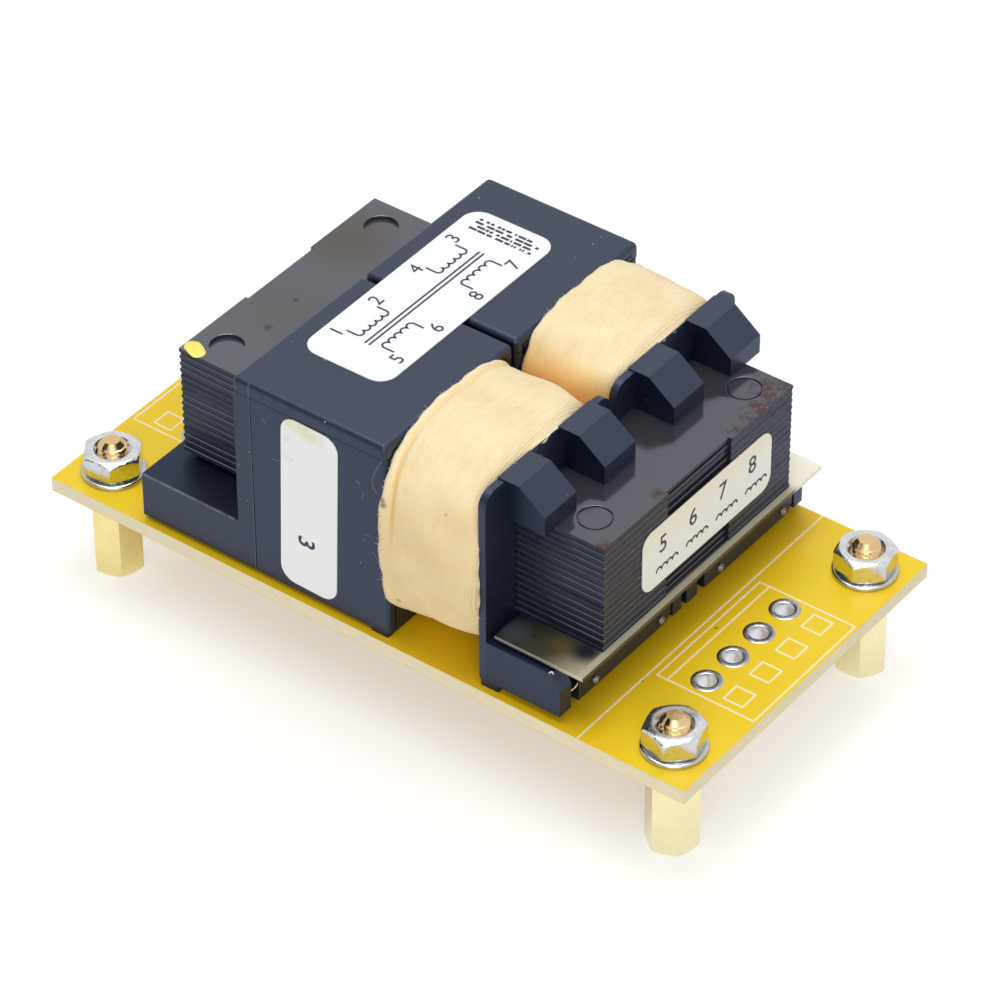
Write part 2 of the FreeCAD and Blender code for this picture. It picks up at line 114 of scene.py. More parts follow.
class Finish:
    """A material with one Principled surface, written as expressions."""

    def __init__(self, name):
        self.material = bpy.data.materials.new(name)
        self.material.use_nodes = True
        self.tree = self.material.node_tree
        self.surface = self.tree.nodes["Principled BSDF"]

    def feed(self, socket, value):
        """Links a value to a socket, or sets the socket to a number or colour."""
        if isinstance(value, Value):
            self.tree.links.new(value.socket, socket)
        else:
            socket.default_value = value

    def node(self, kind, settings=None, inputs=None, output=0):
        """Any node: its settings are made first, then its inputs; returns the output asked for."""
        made = self.tree.nodes.new("ShaderNode" + kind)
        for name, value in (settings or {}).items():
            setattr(made, name, value)
        for name, value in (inputs or {}).items():
            self.feed(made.inputs[name], value)
        return Value(self, made.outputs[output])

    def set(self, **values):
        """Sets sockets of the surface; an underscore stands for a space."""
        for name, value in values.items():
            self.feed(self.surface.inputs[name.replace("_", " ")], value)

    def place(self, x=1.0, y=1.0, z=1.0):
        """The point's place in the part's frame, in millimetres, stretched by the three factors."""
        spot = self.node("TexCoord", output="Object")
        return self.node("VectorMath", {"operation": "MULTIPLY"},
                         {0: spot, 1: (x / MM, y / MM, z / MM)})

    def axis(self, name, vector=None):
        """The X, Y or Z of a vector or, with none given, of the point's place in millimetres."""
        return self.node("SeparateXYZ", None, {0: vector or self.place()}, name)

    def noise(self, size, detail=3.0, stretch=(1.0, 1.0, 1.0), roughness=0.55):
        """Cloudy value from 0 to 1 whose clouds are size millimetres wide."""
        where = self.place(*stretch)
        return self.node("TexNoise", None, {"Vector": where, "Scale": 1 / size, "Detail": detail,
                                            "Roughness": roughness}, "Fac")

    def specks(self, size, amount, radius):
        """1 on a share of small scattered dots, size millimetres apart, and 0 elsewhere."""
        where = self.place()
        far = self.node("TexVoronoi", None, {"Vector": where, "Scale": 1 / size}, "Distance")
        tint = self.node("TexVoronoi", None, {"Vector": where, "Scale": 1 / size}, "Color")
        chance = self.node("SeparateColor", None, {0: tint}, "Red")
        return (far < radius) * (chance < amount)

    def mark(self, x, y, z, reach):
        """1 at one place on the part, fading to 0 at reach millimetres from it."""
        away = self.node("VectorMath", {"operation": "DISTANCE"}, {0: self.place(), 1: (x, y, z)}, "Value")
        return away.ramp(0.2 * reach, reach, 1.0, 0.0)

    def blend(self, share, first, second):
        """Colour between the first and the second."""
        return self.node("Mix", {"data_type": "RGBA"}, {0: share, 6: first, 7: second}, 2)

    def relief(self, height, distance):
        """Raises the surface by height times distance millimetres."""
        bump = self.node("Bump", None, {"Height": height, "Distance": distance * MM, "Strength": 1.0})
        self.set(Normal=bump)


def grid_faces(rows, columns, wrap_rows=False, wrap_columns=False):
    """Four-cornered faces between neighbouring points of a grid numbered row by row."""
    row = np.arange(rows if wrap_rows else rows - 1)
    column = np.arange(columns if wrap_columns else columns - 1)
    row, column = np.meshgrid(row, column, indexing="ij")
    next_row = (row + 1) % rows
    next_column = (column + 1) % columns
    corners = [row * columns + column, row * columns + next_column,
               next_row * columns + next_column, next_row * columns + column]
    return np.stack(corners, -1).reshape(-1, 4)


def joined(parts):
    """One set of points and faces from several."""
    points = []
    faces = []
    count = 0
    for part_points, part_faces in parts:
        points.append(part_points)
        faces.append(part_faces + count)
        count += len(part_points)
    return np.concatenate(points), np.concatenate(faces)


def piece(name, shape, finish, replaced=(), sharp=35.0):
    """An object from points in millimetres and faces. Doubled points are merged and faces turned outwards.

    A face whose last two corners are the same point is a triangle.
    """
    points, faces = shape
    three = faces[:, 2] == faces[:, 3]
    mesh = bpy.data.meshes.new(name)
    mesh.from_pydata((points * MM).tolist(), [], faces[~three].tolist() + faces[three, :3].tolist())
    work = bmesh.new()
    work.from_mesh(mesh)
    bmesh.ops.remove_doubles(work, verts=work.verts, dist=2e-4 * MM)
    bmesh.ops.dissolve_degenerate(work, edges=work.edges, dist=1e-4 * MM)
    bmesh.ops.recalc_face_normals(work, faces=work.faces)
    work.to_mesh(mesh)
    work.free()
    mesh.shade_smooth()
    mesh.set_sharp_from_angle(angle=math.radians(sharp))
    mesh.materials.append(finish.material)
    made = bpy.data.objects.new(name, mesh)
    bpy.context.scene.collection.objects.link(made)
    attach(made, "root")
    if replaced:
        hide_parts(*replaced)
    return made


def swept(radius, height, x, y, wrap_rows=False):
    """Surface round an upright axis: radius and height are given for every row and every angle."""
    rows, columns = radius.shape
    angle = 2 * np.pi * np.arange(columns) / columns
    points = np.stack([x + radius * np.cos(angle), y + radius * np.sin(angle),
                       np.broadcast_to(height, radius.shape)], -1)
    return points.reshape(-1, 3), grid_faces(rows, columns, wrap_rows, True)


def hexagon(across, turn, columns):
    """Radius of a hexagon at every angle, with slightly rounded corners; turn is its first corner."""
    angle = 360 * np.arange(columns) / columns
    off = np.radians((angle - turn) % 60 - 30)
    corner_reach = 0.5735 * across
    return np.minimum(across / 2 / np.cos(off), corner_reach)


def thread(height, columns):
    """Triangle wave from 0 at the crest to 1 at the root along a screw thread."""
    share = np.arange(columns) / columns
    phase = (height[:, None] / SCREW_PITCH - share[None, :]) % 1.0
    return 1 - np.abs(2 * phase - 1)


def standoff(x, y, turn):
    """Rows run from the bottom of the tapped hole, over the foot and up the hexagon, to the stud's tip."""
    columns = 96
    hole_z = np.concatenate([[7.8, 7.0], np.linspace(6.9, 0.35, 54), [0.0]])
    hole_r = np.full((len(hole_z), columns), TAPPED_RADIUS)
    hole_r[0] = 0.0
    hole_r[2:-1] = TAPPED_RADIUS + 0.14 * thread(hole_z[2:-1], columns)
    hole_r[-1] = TAPPED_RADIUS + 0.25
    foot_z = np.array([0.0, 0.04, 0.12, 0.2, 0.28, 0.36, 1.0, 5.0, 9.6, 9.86, 9.94,
                       BOARD_BOTTOM, BOARD_BOTTOM])
    foot_r = np.array([2.1, 2.22, 2.36, 2.5, 2.63, 2.8, 2.8, 2.8, 2.8, 2.8, 2.66,
                       2.5, STUD_RADIUS + 0.01])
    foot_r = np.minimum(foot_r[:, None], hexagon(PILLAR_ACROSS, turn, columns)[None, :])
    stud_z = np.linspace(BOARD_BOTTOM + 0.02, STUD_TIP, 130)
    stud_r = STUD_RADIUS - 0.27 * thread(stud_z, columns)
    cone = 1.30 - 0.50 * (stud_z - CONE_START) / (STUD_TIP - CONE_START)
    cone = np.where(stud_z < CONE_START, STUD_RADIUS + 0.01, cone)
    stud_r = np.minimum(stud_r, cone[:, None])
    tip_z = np.array([STUD_TIP, STUD_TIP])
    tip_r = np.repeat([[0.45], [0.0]], columns, 1)
    radius = np.concatenate([hole_r, foot_r, stud_r, tip_r])
    height = np.concatenate([hole_z, foot_z, stud_z, tip_z])
    return swept(radius, height[:, None], x, y)


brass = Finish("turned brass")
cloud = brass.noise(1.6, 4.0)
streak = brass.noise(0.35, 3.0, (1.0, 1.0, 0.08))
golden = brass.blend(cloud, (0.93, 0.73, 0.24, 1), (0.99, 0.87, 0.44, 1))
pale = brass.blend(cloud, (0.98, 0.83, 0.41, 1), (1.0, 0.93, 0.58, 1))
reddish = brass.blend(cloud, (0.66, 0.43, 0.18, 1), (0.80, 0.59, 0.33, 1))
# Painted reflection: the pillars at the left are a deeper gold, as if mirroring the shade under the board,
# and those at the right paler.
tone = brass.blend(brass.axis("X").ramp(-20.0, 20.0), golden, pale)
brass.set(Base_Color=brass.blend(brass.axis("Z") > BOARD_TOP + 0.1, tone, reddish), Metallic=1.0,
          Roughness=streak.ramp(0.3, 0.8, 0.14, 0.30))
brass.relief(streak + 0.6 * brass.noise(0.12), 0.006)

corners = [(a * CORNER_X, b * CORNER_Y) for a, b in FOUR_WAYS]
pillar_turns = (14.4, 20.0, 1.4, 50.0)
pillars = [standoff(x, y, turn) for (x, y), turn in zip(corners, pillar_turns)]
piece("brass_standoffs", joined(pillars), brass, ["standoffs"])


# Circuit board. Glass-fibre laminate, sawn to size, with a bright yellow solder mask on both faces and
# bare cream-coloured edges that show the layers of glass cloth.

def finish_node(name, finish):
    """Gives a CAD piece that is shown as it is its material."""
    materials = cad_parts[name].data.materials
    materials.clear()
    materials.append(finish.material)


mask = Finish("yellow solder mask")
height = mask.axis("Z")
edge = height.between(BOARD_BOTTOM + 0.05, BOARD_TOP - 0.05)
layers = mask.noise(0.22, 2.0, (0.12, 0.12, 1.0))
weave = mask.noise(0.5, 2.0, (1.0, 0.15, 1.0)) + mask.noise(0.5, 2.0, (0.15, 1.0, 1.0))
cloud = mask.noise(9.0, 3.0)

# Painted shade: the yellow is deeper beside the core, as in its shade. Two brown specks lie at the output
# end.
yellow = mask.blend(cloud, (0.83, 0.56, 0.008, 1), (0.88, 0.62, 0.014, 1))
beside = mask.axis("X")
painted_core_shade = (beside * beside).ramp(560.0, 980.0, 1.0, 0.0)
for x, y, reach in ((25.93, -10.02, 0.28), (27.1, 0.3, 0.26)):
    yellow = mask.blend(mask.mark(x, y, BOARD_TOP, reach) * 0.85, yellow, (0.10, 0.05, 0.02, 1))
yellow = mask.blend(painted_core_shade * 0.35, yellow, (0.80, 0.42, 0.004, 1))

cream = mask.blend(layers, (0.76, 0.66, 0.42, 1), (0.94, 0.86, 0.64, 1))
mask.set(Base_Color=mask.blend(edge, yellow, cream), Roughness=edge * 0.3 + weave.ramp(0.7, 1.3, 0.3, 0.42),
         Coat_Weight=(1 - edge) * 0.15, Coat_Roughness=0.08, Specular_IOR_Level=0.35)
mask.relief(weave * (1 - edge) * 0.3 + layers * edge + mask.noise(0.08) * 0.15, 0.02)
finish_node("circuit_board", mask)


# Printed lines. White ink, screen-printed on the mask: a border with a second line inside it round each
# row of wire holes, a small square beside each hole and a line across the board at the output end.

INK_TOP = BOARD_TOP + 0.025
LINE_WIDTH = 0.18
WIRE_SPACING = 4.26


def raised(flat, level):
    """Points of a grid from their two plane coordinates and a height for each row, column or point."""
    up = np.broadcast_to(level, flat.shape[:2] + (1,))
    return np.concatenate([flat, up], -1).reshape(-1, 3)


def closed_bar(rows):
    """Faces of a bar with four points to a row, and a face at each of its ends."""
    last = 4 * rows
    ends = np.array([[0, 1, 2, 3], [last - 1, last - 2, last - 3, last - 4]])
    return np.concatenate([grid_faces(rows, 4, False, True), ends])


def line(x0, y0, x1, y1):
    """A thin flat bar of ink with bevelled long edges between two points; its width wavers a little."""
    along = np.array([x1 - x0, y1 - y0])
    length = np.hypot(*along)
    along = along / length
    across = np.array([-along[1], along[0]])
    steps = max(2, int(length / 0.6))
    share = np.linspace(-LINE_WIDTH / 2, length + LINE_WIDTH / 2, steps)
    wobble = 0.012 * np.sin(share * 7.3) + 0.01 * np.sin(share * 17.1 + 1)
    side = np.array([-1, -0.8, 0.8, 1]) * LINE_WIDTH / 2
    level = np.array([BOARD_TOP, INK_TOP, INK_TOP, BOARD_TOP])
    flat = (np.array([x0, y0]) + share[:, None, None] * along
            + (side[None, :, None] * (1 + wobble[:, None, None] / LINE_WIDTH)) * across)
    return raised(flat, level[None, :, None]), closed_bar(steps)


def frame_lines(x0, x1, y0, y1):
    """The four sides of a rectangle."""
    low, high = y0 + LINE_WIDTH, y1 - LINE_WIDTH
    return [line(x0, y0, x1, y0), line(x0, y1, x1, y1), line(x0, low, x0, high), line(x1, low, x1, high)]


ink = Finish("white ink")
ink.set(Base_Color=ink.blend(ink.noise(0.4, 4.0), (0.86, 0.79, 0.52, 1), (0.94, 0.90, 0.74, 1)),
        Roughness=0.55)
ink.relief(ink.noise(0.1), 0.01)
wire_rows = [WIRE_SPACING * (k - 1.5) for k in range(4)]
strokes = [line(25.8, -20.0, 25.8, 20.0)]
strokes += frame_lines(26.57, 37.5, -8.45, 8.3) + [line(27.7, -8.23, 27.7, 8.08)]
strokes += frame_lines(-37.4, -26.9, -8.2, 8.2) + [line(-28.0, -7.98, -28.0, 7.98)]
for y in wire_rows:
    for left, right in ((33.4, 35.55), (-35.4, -33.3)):
        strokes += frame_lines(left, right, y - 1.07, y + 1.07)
piece("printed_lines", joined(strokes), ink)


# Wire holes. Copper barrels for the lead wires, plated through the board and tinned, each with a soft
# raised rim on both faces.

WIRE_X = 30.78
BORE_RADIUS, RIM_RADIUS, RIM_RISE = 0.95, 1.575, 0.1

tin = Finish("tinned copper")
cloud = tin.noise(0.5, 4.0)
bright = tin.blend(cloud, (0.72, 0.72, 0.71, 1), (0.92, 0.91, 0.90, 1))
greyed = tin.blend(cloud, (0.30, 0.31, 0.34, 1), (0.56, 0.56, 0.60, 1))
on_rim = tin.axis("Z").between(BOARD_TOP + 0.01, BOARD_TOP + 0.2)
tin.set(Base_Color=tin.blend(on_rim, bright, greyed), Metallic=1.0,
        Roughness=cloud.ramp(0.2, 0.8, 0.16, 0.30))
tin.relief(cloud + tin.noise(0.12) * 0.3, 0.02)


def wire_hole(x, y):
    """Profile of a barrel whose rims swell softly and roll into the bore."""
    turn = np.linspace(0, np.pi, 12)
    upper_z = BOARD_TOP + RIM_RISE * np.sin(turn) ** 0.6
    outer = (RIM_RADIUS + BORE_RADIUS) / 2 + (RIM_RADIUS - BORE_RADIUS) / 2 * np.cos(turn)
    inner = [BORE_RADIUS, BORE_RADIUS - 0.015, BORE_RADIUS]
    radius = np.concatenate([outer, inner, outer[::-1], [1.125, 1.125]])
    lower_z = BOARD_BOTTOM + BOARD_TOP - upper_z[::-1]
    level = np.concatenate([upper_z, [11.4, 10.8, 10.2], lower_z, [BOARD_BOTTOM, BOARD_TOP]])
    return swept(np.repeat(radius[:, None], 48, 1), level[:, None], x, y, True)


for end, side in (("output", 1), ("input", -1)):
    holes = [wire_hole(side * WIRE_X, y) for y in wire_rows]
    piece(end + "_wire_holes", joined(holes), tin, [end + "_sleeves"])


# Washers and nuts. Stamped flat washers with rolled edges, and small hexagonal nuts with both faces
# bevelled and a threaded bore, all bright zinc plate on steel.

NUT_ACROSS = 5.5
NUT_BOTTOM = BOARD_TOP + 0.5

zinc = Finish("bright zinc")
cloud = zinc.noise(1.2, 4.0)
stain = zinc.noise(0.7, 5.0, roughness=0.7).ramp(0.50, 0.66)
tone = zinc.blend(cloud, (0.56, 0.57, 0.58, 1), (0.80, 0.80, 0.80, 1))
tone = zinc.blend((zinc.axis("Z") < NUT_BOTTOM + 0.02) * 0.5, tone, (0.34, 0.35, 0.35, 1))
zinc.set(Base_Color=zinc.blend(stain * 0.35, tone, (0.36, 0.39, 0.42, 1)), Metallic=1.0,
         Roughness=zinc.noise(0.3, 3.0).ramp(0.3, 0.75, 0.10, 0.26))
zinc.relief(zinc.noise(0.25, 4.0) + zinc.noise(1.5) * 0.5, 0.012)


def washer(x, y):
    """Ring with rounded edges: the lower edge is square from the punch, the upper one rolled."""
    radius = np.array([1.6, 1.62, 1.72, 3.0, 3.14, 3.22, 3.25, 3.25, 3.2, 1.62, 1.6])
    level = BOARD_TOP + np.array([0.1, 0.44, 0.5, 0.5, 0.47, 0.4, 0.3, 0.04, 0.0, 0.0, 0.04])
    return swept(np.repeat(radius[:, None], 64, 1), level[:, None], x, y, True)


def nut(x, y, turn):
    """Rows run round the section: bore, countersink, upper face, bevel, flats, bevel and lower face."""
    columns = 96
    bore_z = np.linspace(12.3, 14.05, 36)
    bore_r = 1.3 + 0.2 * thread(bore_z, columns)
    rim_z = NUT_BOTTOM + np.array([2.02, 2.4, 2.4, 2.36, 2.28, 2.2, 2.1, 2.0, 1.8, 1.2, 0.6, 0.4, 0.3, 0.2,
                                   0.1, 0.04, 0.0, 0.0])
    rim_r = np.array([1.56, 1.9, 2.5, 2.6, 2.74, 2.88, 3.05, 3.3, 3.3, 3.3, 3.3, 3.3, 3.05, 2.88,
                      2.74, 2.6, 2.5, 1.6])
    rim_r = np.minimum(rim_r[:, None], hexagon(NUT_ACROSS, turn, columns)[None, :])
    radius = np.concatenate([bore_r, rim_r])
    return swept(radius, np.concatenate([bore_z, rim_z])[:, None], x, y, True)


piece("washer_set", joined([washer(x, y) for x, y in corners]), zinc, ["washers"])
nut_turns = (4.0, 45.0, 40.0, 25.0)
nut_shapes = [nut(x, y, turn) for (x, y), turn in zip(corners, nut_turns)]
piece("nut_set", joined(nut_shapes), zinc, ["nuts"])


# Laminated core. Sixteen punched sheets of silicon steel in a U and an I stack, varnished together:
# the sheared edges stand proud by uneven amounts, and round marks are pressed into the outer sheets.

CORE_BOTTOM = 17.8
CORE_TOP = 30.1
SHEETS = 16
SHEET_THICK = 0.43
PITCH = (CORE_TOP - CORE_BOTTOM - SHEET_THICK) / (SHEETS - 1)
MARK_HALF = 2.4


def sheet_rows(depth, jitter, rng):
    """Heights of the rows up the stack and, for each row and side, how far it lies inside the outline.

    Each sheet has a burred lower and upper edge and a full one between, then a recess depth deep.
    """
    levels = []
    inset = []
    push = rng.normal(0.0, 1.0, (SHEETS, len(depth))) * jitter
    push = np.clip(push - push.min() * 0.3, 0, None)
    for k in range(SHEETS):
        low = CORE_BOTTOM + k * PITCH
        own = push[k] * (0 < k < SHEETS - 1)
        levels += [low, low + 0.05, low + SHEET_THICK - 0.05, low + SHEET_THICK]
        inset += [own + 0.04 * (k > 0), own, own, own + 0.05 * (k < SHEETS - 1)]
        if k < SHEETS - 1:
            levels += [low + SHEET_THICK + 0.03, low + PITCH - 0.03]
            inset += [depth, depth]
    return np.array(levels), np.array(inset)


def walk(outline, lines_x, lines_y):
    """Where the outline crosses the grid lines: number of the side and share along it, in order."""
    sides = []
    shares = []
    for k, (start, end) in enumerate(zip(outline, np.roll(outline, -1, 0))):
        axis = 0 if abs(end[0] - start[0]) > 1e-6 else 1
        lines = lines_x if axis == 0 else lines_y
        share = (lines - start[axis]) / (end[axis] - start[axis])
        share = np.sort(share[(share > -1e-6) & (share < 1 - 1e-6)])
        sides.append(np.full(len(share), k))
        shares.append(share)
    return np.concatenate(sides), np.concatenate(shares)


def stack_side(outline, depth, jitter, lines_x, lines_y, rng):
    """The sheared edges all round: each side of the outline moves in by its own amount on each row."""
    levels, inset = sheet_rows(depth, jitter, rng)
    following = np.roll(outline, -1, 0)
    along = following - outline
    along = along / np.hypot(along[:, 0], along[:, 1])[:, None]
    inward = np.stack([-along[:, 1], along[:, 0]], -1)
    before = np.roll(np.arange(len(outline)), 1)
    corner = outline[None] + inset[:, :, None] * inward[None] + inset[:, before, None] * inward[None, before]
    sides, share = walk(outline, lines_x, lines_y)
    after = (sides + 1) % len(outline)
    flat = corner[:, sides] * (1 - share)[None, :, None] + corner[:, after] * share[None, :, None]
    return raised(flat, levels[:, None, None]), grid_faces(len(levels), len(sides), False, True)


def pressed_mark(x, y, level, profile):
    """A round pressed mark: a square frame that passes into circles of the radii and depths in profile."""
    step = np.linspace(-MARK_HALF, MARK_HALF, 33)[:-1]
    edge = np.full(32, MARK_HALF)
    square = np.concatenate([np.stack(pair, -1) for pair in
                             ((step, -edge), (edge, step), (-step, edge), (-edge, -step))])
    angle = np.arctan2(square[:, 1], square[:, 0])
    circle = np.stack([np.cos(angle), np.sin(angle)], -1)
    radius, depth = np.array(profile).T
    flat = np.concatenate([square[None], radius[:, None, None] * circle[None]]) + np.array([x, y])
    height = level - np.concatenate([[0.0], depth])
    return raised(flat, height[:, None, None]), grid_faces(len(flat), len(square), False, True)


def stack_face(inside, lines_x, lines_y, level, marks):
    """Upper or lower face over the grid squares inside the outline, left open round each pressed mark."""
    x, y = np.meshgrid(lines_x, lines_y, indexing="ij")
    faces = grid_faces(len(lines_x), len(lines_y))
    middle_x, middle_y = np.meshgrid((lines_x[:-1] + lines_x[1:]) / 2, (lines_y[:-1] + lines_y[1:]) / 2,
                                     indexing="ij")
    keep = inside(middle_x, middle_y)
    for mark_x, mark_y in marks:
        keep &= (np.abs(middle_x - mark_x) > MARK_HALF) | (np.abs(middle_y - mark_y) > MARK_HALF)
    return np.stack([x, y, np.full_like(x, level)], -1).reshape(-1, 3), faces[keep.reshape(-1)]


def fine_lines(start, end, must, centres):
    """Grid lines about a millimetre apart, closer round each mark, through every value in must."""
    lines = list(np.arange(start, end, 0.9)) + [end]
    for centre in centres:
        close = np.linspace(centre - MARK_HALF, centre + MARK_HALF, 33)
        lines = [at for at in lines if abs(at - centre) > MARK_HALF + 0.05] + list(close)
    lines = [at for at in lines if min(abs(at - edge) for edge in must) > 0.06]
    return np.unique(np.round(lines + list(must), 5))


def core_stack(outline, depth, jitter, inside, marks, profile, seed):
    """Closed stack: the sheared edges all round and the two faces."""
    rng = np.random.default_rng(seed)
    outline = np.array(outline)
    lines_x = fine_lines(outline[:, 0].min(), outline[:, 0].max(), sorted(set(outline[:, 0])),
                         sorted({mark[0] for mark in marks}))
    lines_y = fine_lines(outline[:, 1].min(), outline[:, 1].max(), sorted(set(outline[:, 1])),
                         sorted({mark[1] for mark in marks}))
    side = stack_side(outline, np.array(depth), np.array(jitter), lines_x, lines_y, rng)
    top = stack_face(inside, lines_x, lines_y, CORE_TOP, marks)
    bottom = stack_face(inside, lines_x, lines_y, CORE_BOTTOM, [])
    return joined([side, top, bottom] + [pressed_mark(x, y, CORE_TOP, profile) for x, y in marks])


steel = Finish("varnished steel sheets")

# The upper and lower faces are smooth rolled sheet. All others are sheared edges, and the gaps between them
# are painted dark: varnish, with painted shade of the recesses.
height = steel.axis("Z")
facing = steel.axis("Z", steel.node("NewGeometry", output="Normal"))
top = (facing * facing) > 0.3
turn = steel.node("Math", {"operation": "FRACT"}, {0: (height - CORE_BOTTOM) / PITCH})
dark_gap_and_shade = turn.between(0.555, 0.985) * (1 - top)
cloud = steel.noise(7.0, 5.0)
fine = steel.noise(0.6, 4.0)
grain_along = steel.noise(1.2, 2.0, (0.04, 0.04, 1.0))
across = steel.axis("X")
at_end = across > 24.0
flat = steel.blend(cloud, (0.120, 0.124, 0.142, 1), (0.138, 0.142, 0.162, 1))
# Painted shadow: the upper face darkens towards the output end, in the shadow of the wire hoods.
flat = steel.blend(across.ramp(8.0, 18.0) * 0.5, flat, (0.088, 0.086, 0.108, 1))
sheared = steel.blend(grain_along * 0.5 + fine * 0.5, (0.012, 0.016, 0.044, 1), (0.031, 0.039, 0.090, 1))
# Painted shade: the sheared edges at the output end are darker, as in the shadow of the taped coil.
sheared = steel.blend(across.ramp(14.7, 14.9) * 0.5, sheared, (0.006, 0.008, 0.016, 1))
tone = steel.blend(top, sheared, flat)
# Painted shade of the recesses together with dark varnish, lighter at the output end.
tone = steel.blend(dark_gap_and_shade * (0.8 - at_end * 0.35), tone, (0.006, 0.007, 0.012, 1))

# A brown haze and two smudges lie on the closed end, rust and bright burrs on the output end; the burrs are
# bare metal with painted glints.
haze = steel.mark(-21.2, -4.5, CORE_TOP, 7.5) * 0.22 + steel.mark(-23.2, 8.3, CORE_TOP, 7.0) * 0.6
tone = steel.blend(haze, tone, (0.085, 0.058, 0.032, 1))
rust_spots = ((24.5, 13.6, 4.4, 1.0), (24.5, 9.6, 2.6, 1.0), (24.1, 6.3, 1.9, 0.8), (24.2, -5.3, 1.5, 0.9),
              (24.3, -14.2, 1.3, 1.0))
rust_place = sum(steel.mark(x, y, CORE_TOP, reach) * share for x, y, reach, share in rust_spots)
rust = (rust_place * steel.noise(0.9, 6.0, roughness=0.75).ramp(0.36, 0.62)).ramp(0.10, 0.7)
tone = steel.blend(rust * top, tone, (0.058, 0.024, 0.019, 1))
burr_and_glint = steel.specks(0.55, 0.10, 0.16) * (across > 24.3) * top
tone = steel.blend(burr_and_glint * 0.7, tone, (0.50, 0.50, 0.55, 1))
smudge = (steel.mark(-20.4, -7.2, CORE_TOP, 0.75) * fine.ramp(0.3, 0.6)
          + steel.mark(-21.05, -2.15, CORE_TOP, 0.45))
tone = steel.blend(smudge * 0.8, tone, (0.045, 0.034, 0.040, 1))

steel.set(Base_Color=tone, Metallic=0.35 + top * (1 - rust) * (1 - haze) * 0.35,
          Roughness=(1 - top) * fine.ramp(0.25, 0.75, 0.34, 0.55) + top * fine.ramp(0.2, 0.8, 0.11, 0.17)
          + top * (rust * 0.3 + haze * 0.2))
steel.relief((1 - top * 0.85) * (steel.noise(0.18, 4.0) * 0.6 + grain_along * 0.4) + cloud * 0.5, 0.02)

LEFT, RIGHT, FRONT, BACK = -25.2, 24.8, -14.75, 15.45
LEG_WIDTH = 10.067
LEG_FRONT, LEG_BACK = FRONT + LEG_WIDTH, BACK - LEG_WIDTH
WINDOW_LEFT, WINDOW_RIGHT = -15.2, 14.8
NOTCH = 0.33
u_outline = [(WINDOW_RIGHT, LEG_FRONT), (WINDOW_LEFT, LEG_FRONT), (WINDOW_LEFT, LEG_BACK),
             (WINDOW_RIGHT, LEG_BACK), (WINDOW_RIGHT, BACK), (LEFT, BACK), (LEFT, LEG_BACK),
             (LEFT + NOTCH, LEG_BACK), (LEFT + NOTCH, LEG_FRONT), (LEFT, LEG_FRONT), (LEFT, FRONT),
             (WINDOW_RIGHT, FRONT)]


def inside_u(x, y):
    """True on the U sheet: off its window and off the shallow notch at its closed end."""
    window = (x > WINDOW_LEFT) & (y > LEG_FRONT) & (y < LEG_BACK)
    notch = (x < LEFT + NOTCH) & (y > LEG_FRONT) & (y < LEG_BACK)
    return ~window & ~notch


# For each side of an outline: how deep the gap between two sheets is, and how unevenly the sheets lie.
u_depth = [0.16, 0.16, 0.16, 0.0, 0.16, 0.09, 0.0, 0.42, 0.0, 0.09, 0.12, 0.0]
u_jitter = [0.0, 0.0, 0.0, 0.0, 0.012, 0.01, 0.0, 0.04, 0.0, 0.01, 0.012, 0.0]
u_marks = [(-21.8, -11.65), (-21.8, 12.15)]
deep_mark = [(1.80, 0.0), (1.75, 0.03), (1.72, 0.42), (1.55, 0.44), (0.8, 0.43), (0.0, 0.43)]
piece("core_u_sheets", core_stack(u_outline, u_depth, u_jitter, inside_u, u_marks, deep_mark, 3), steel,
      ["u_stack"], 28.0)

i_outline = [(WINDOW_RIGHT, FRONT), (RIGHT, FRONT), (RIGHT, LEG_FRONT), (RIGHT - NOTCH, LEG_FRONT),
             (RIGHT - NOTCH, LEG_BACK), (RIGHT, LEG_BACK), (RIGHT, BACK), (WINDOW_RIGHT, BACK)]


def inside_i(x, y):
    """True on the I sheet, off the shallow notch at its outer edge."""
    return ~((x > RIGHT - NOTCH) & (y > LEG_FRONT) & (y < LEG_BACK))


i_depth = [0.16, 0.06, 0.0, 0.42, 0.0, 0.06, 0.06, 0.0]
i_jitter = [0.02, 0.010, 0.0, 0.05, 0.0, 0.010, 0.006, 0.0]
i_marks = [(21.41, -11.5), (21.41, 12.34)]
faint_mark = [(1.78, 0.0), (1.72, 0.02), (1.68, 0.17), (1.61, 0.17), (1.55, 0.06), (0.8, 0.05), (0.0, 0.05)]
piece("core_i_sheets", core_stack(i_outline, i_depth, i_jitter, inside_i, i_marks, faint_mark, 8), steel,
      ["i_stack"], 28.0)


# Insulating card. A cut sheet of thin pressed board, slightly translucent, laid between the core and
# the terminal bases.

card = Finish("insulating card")

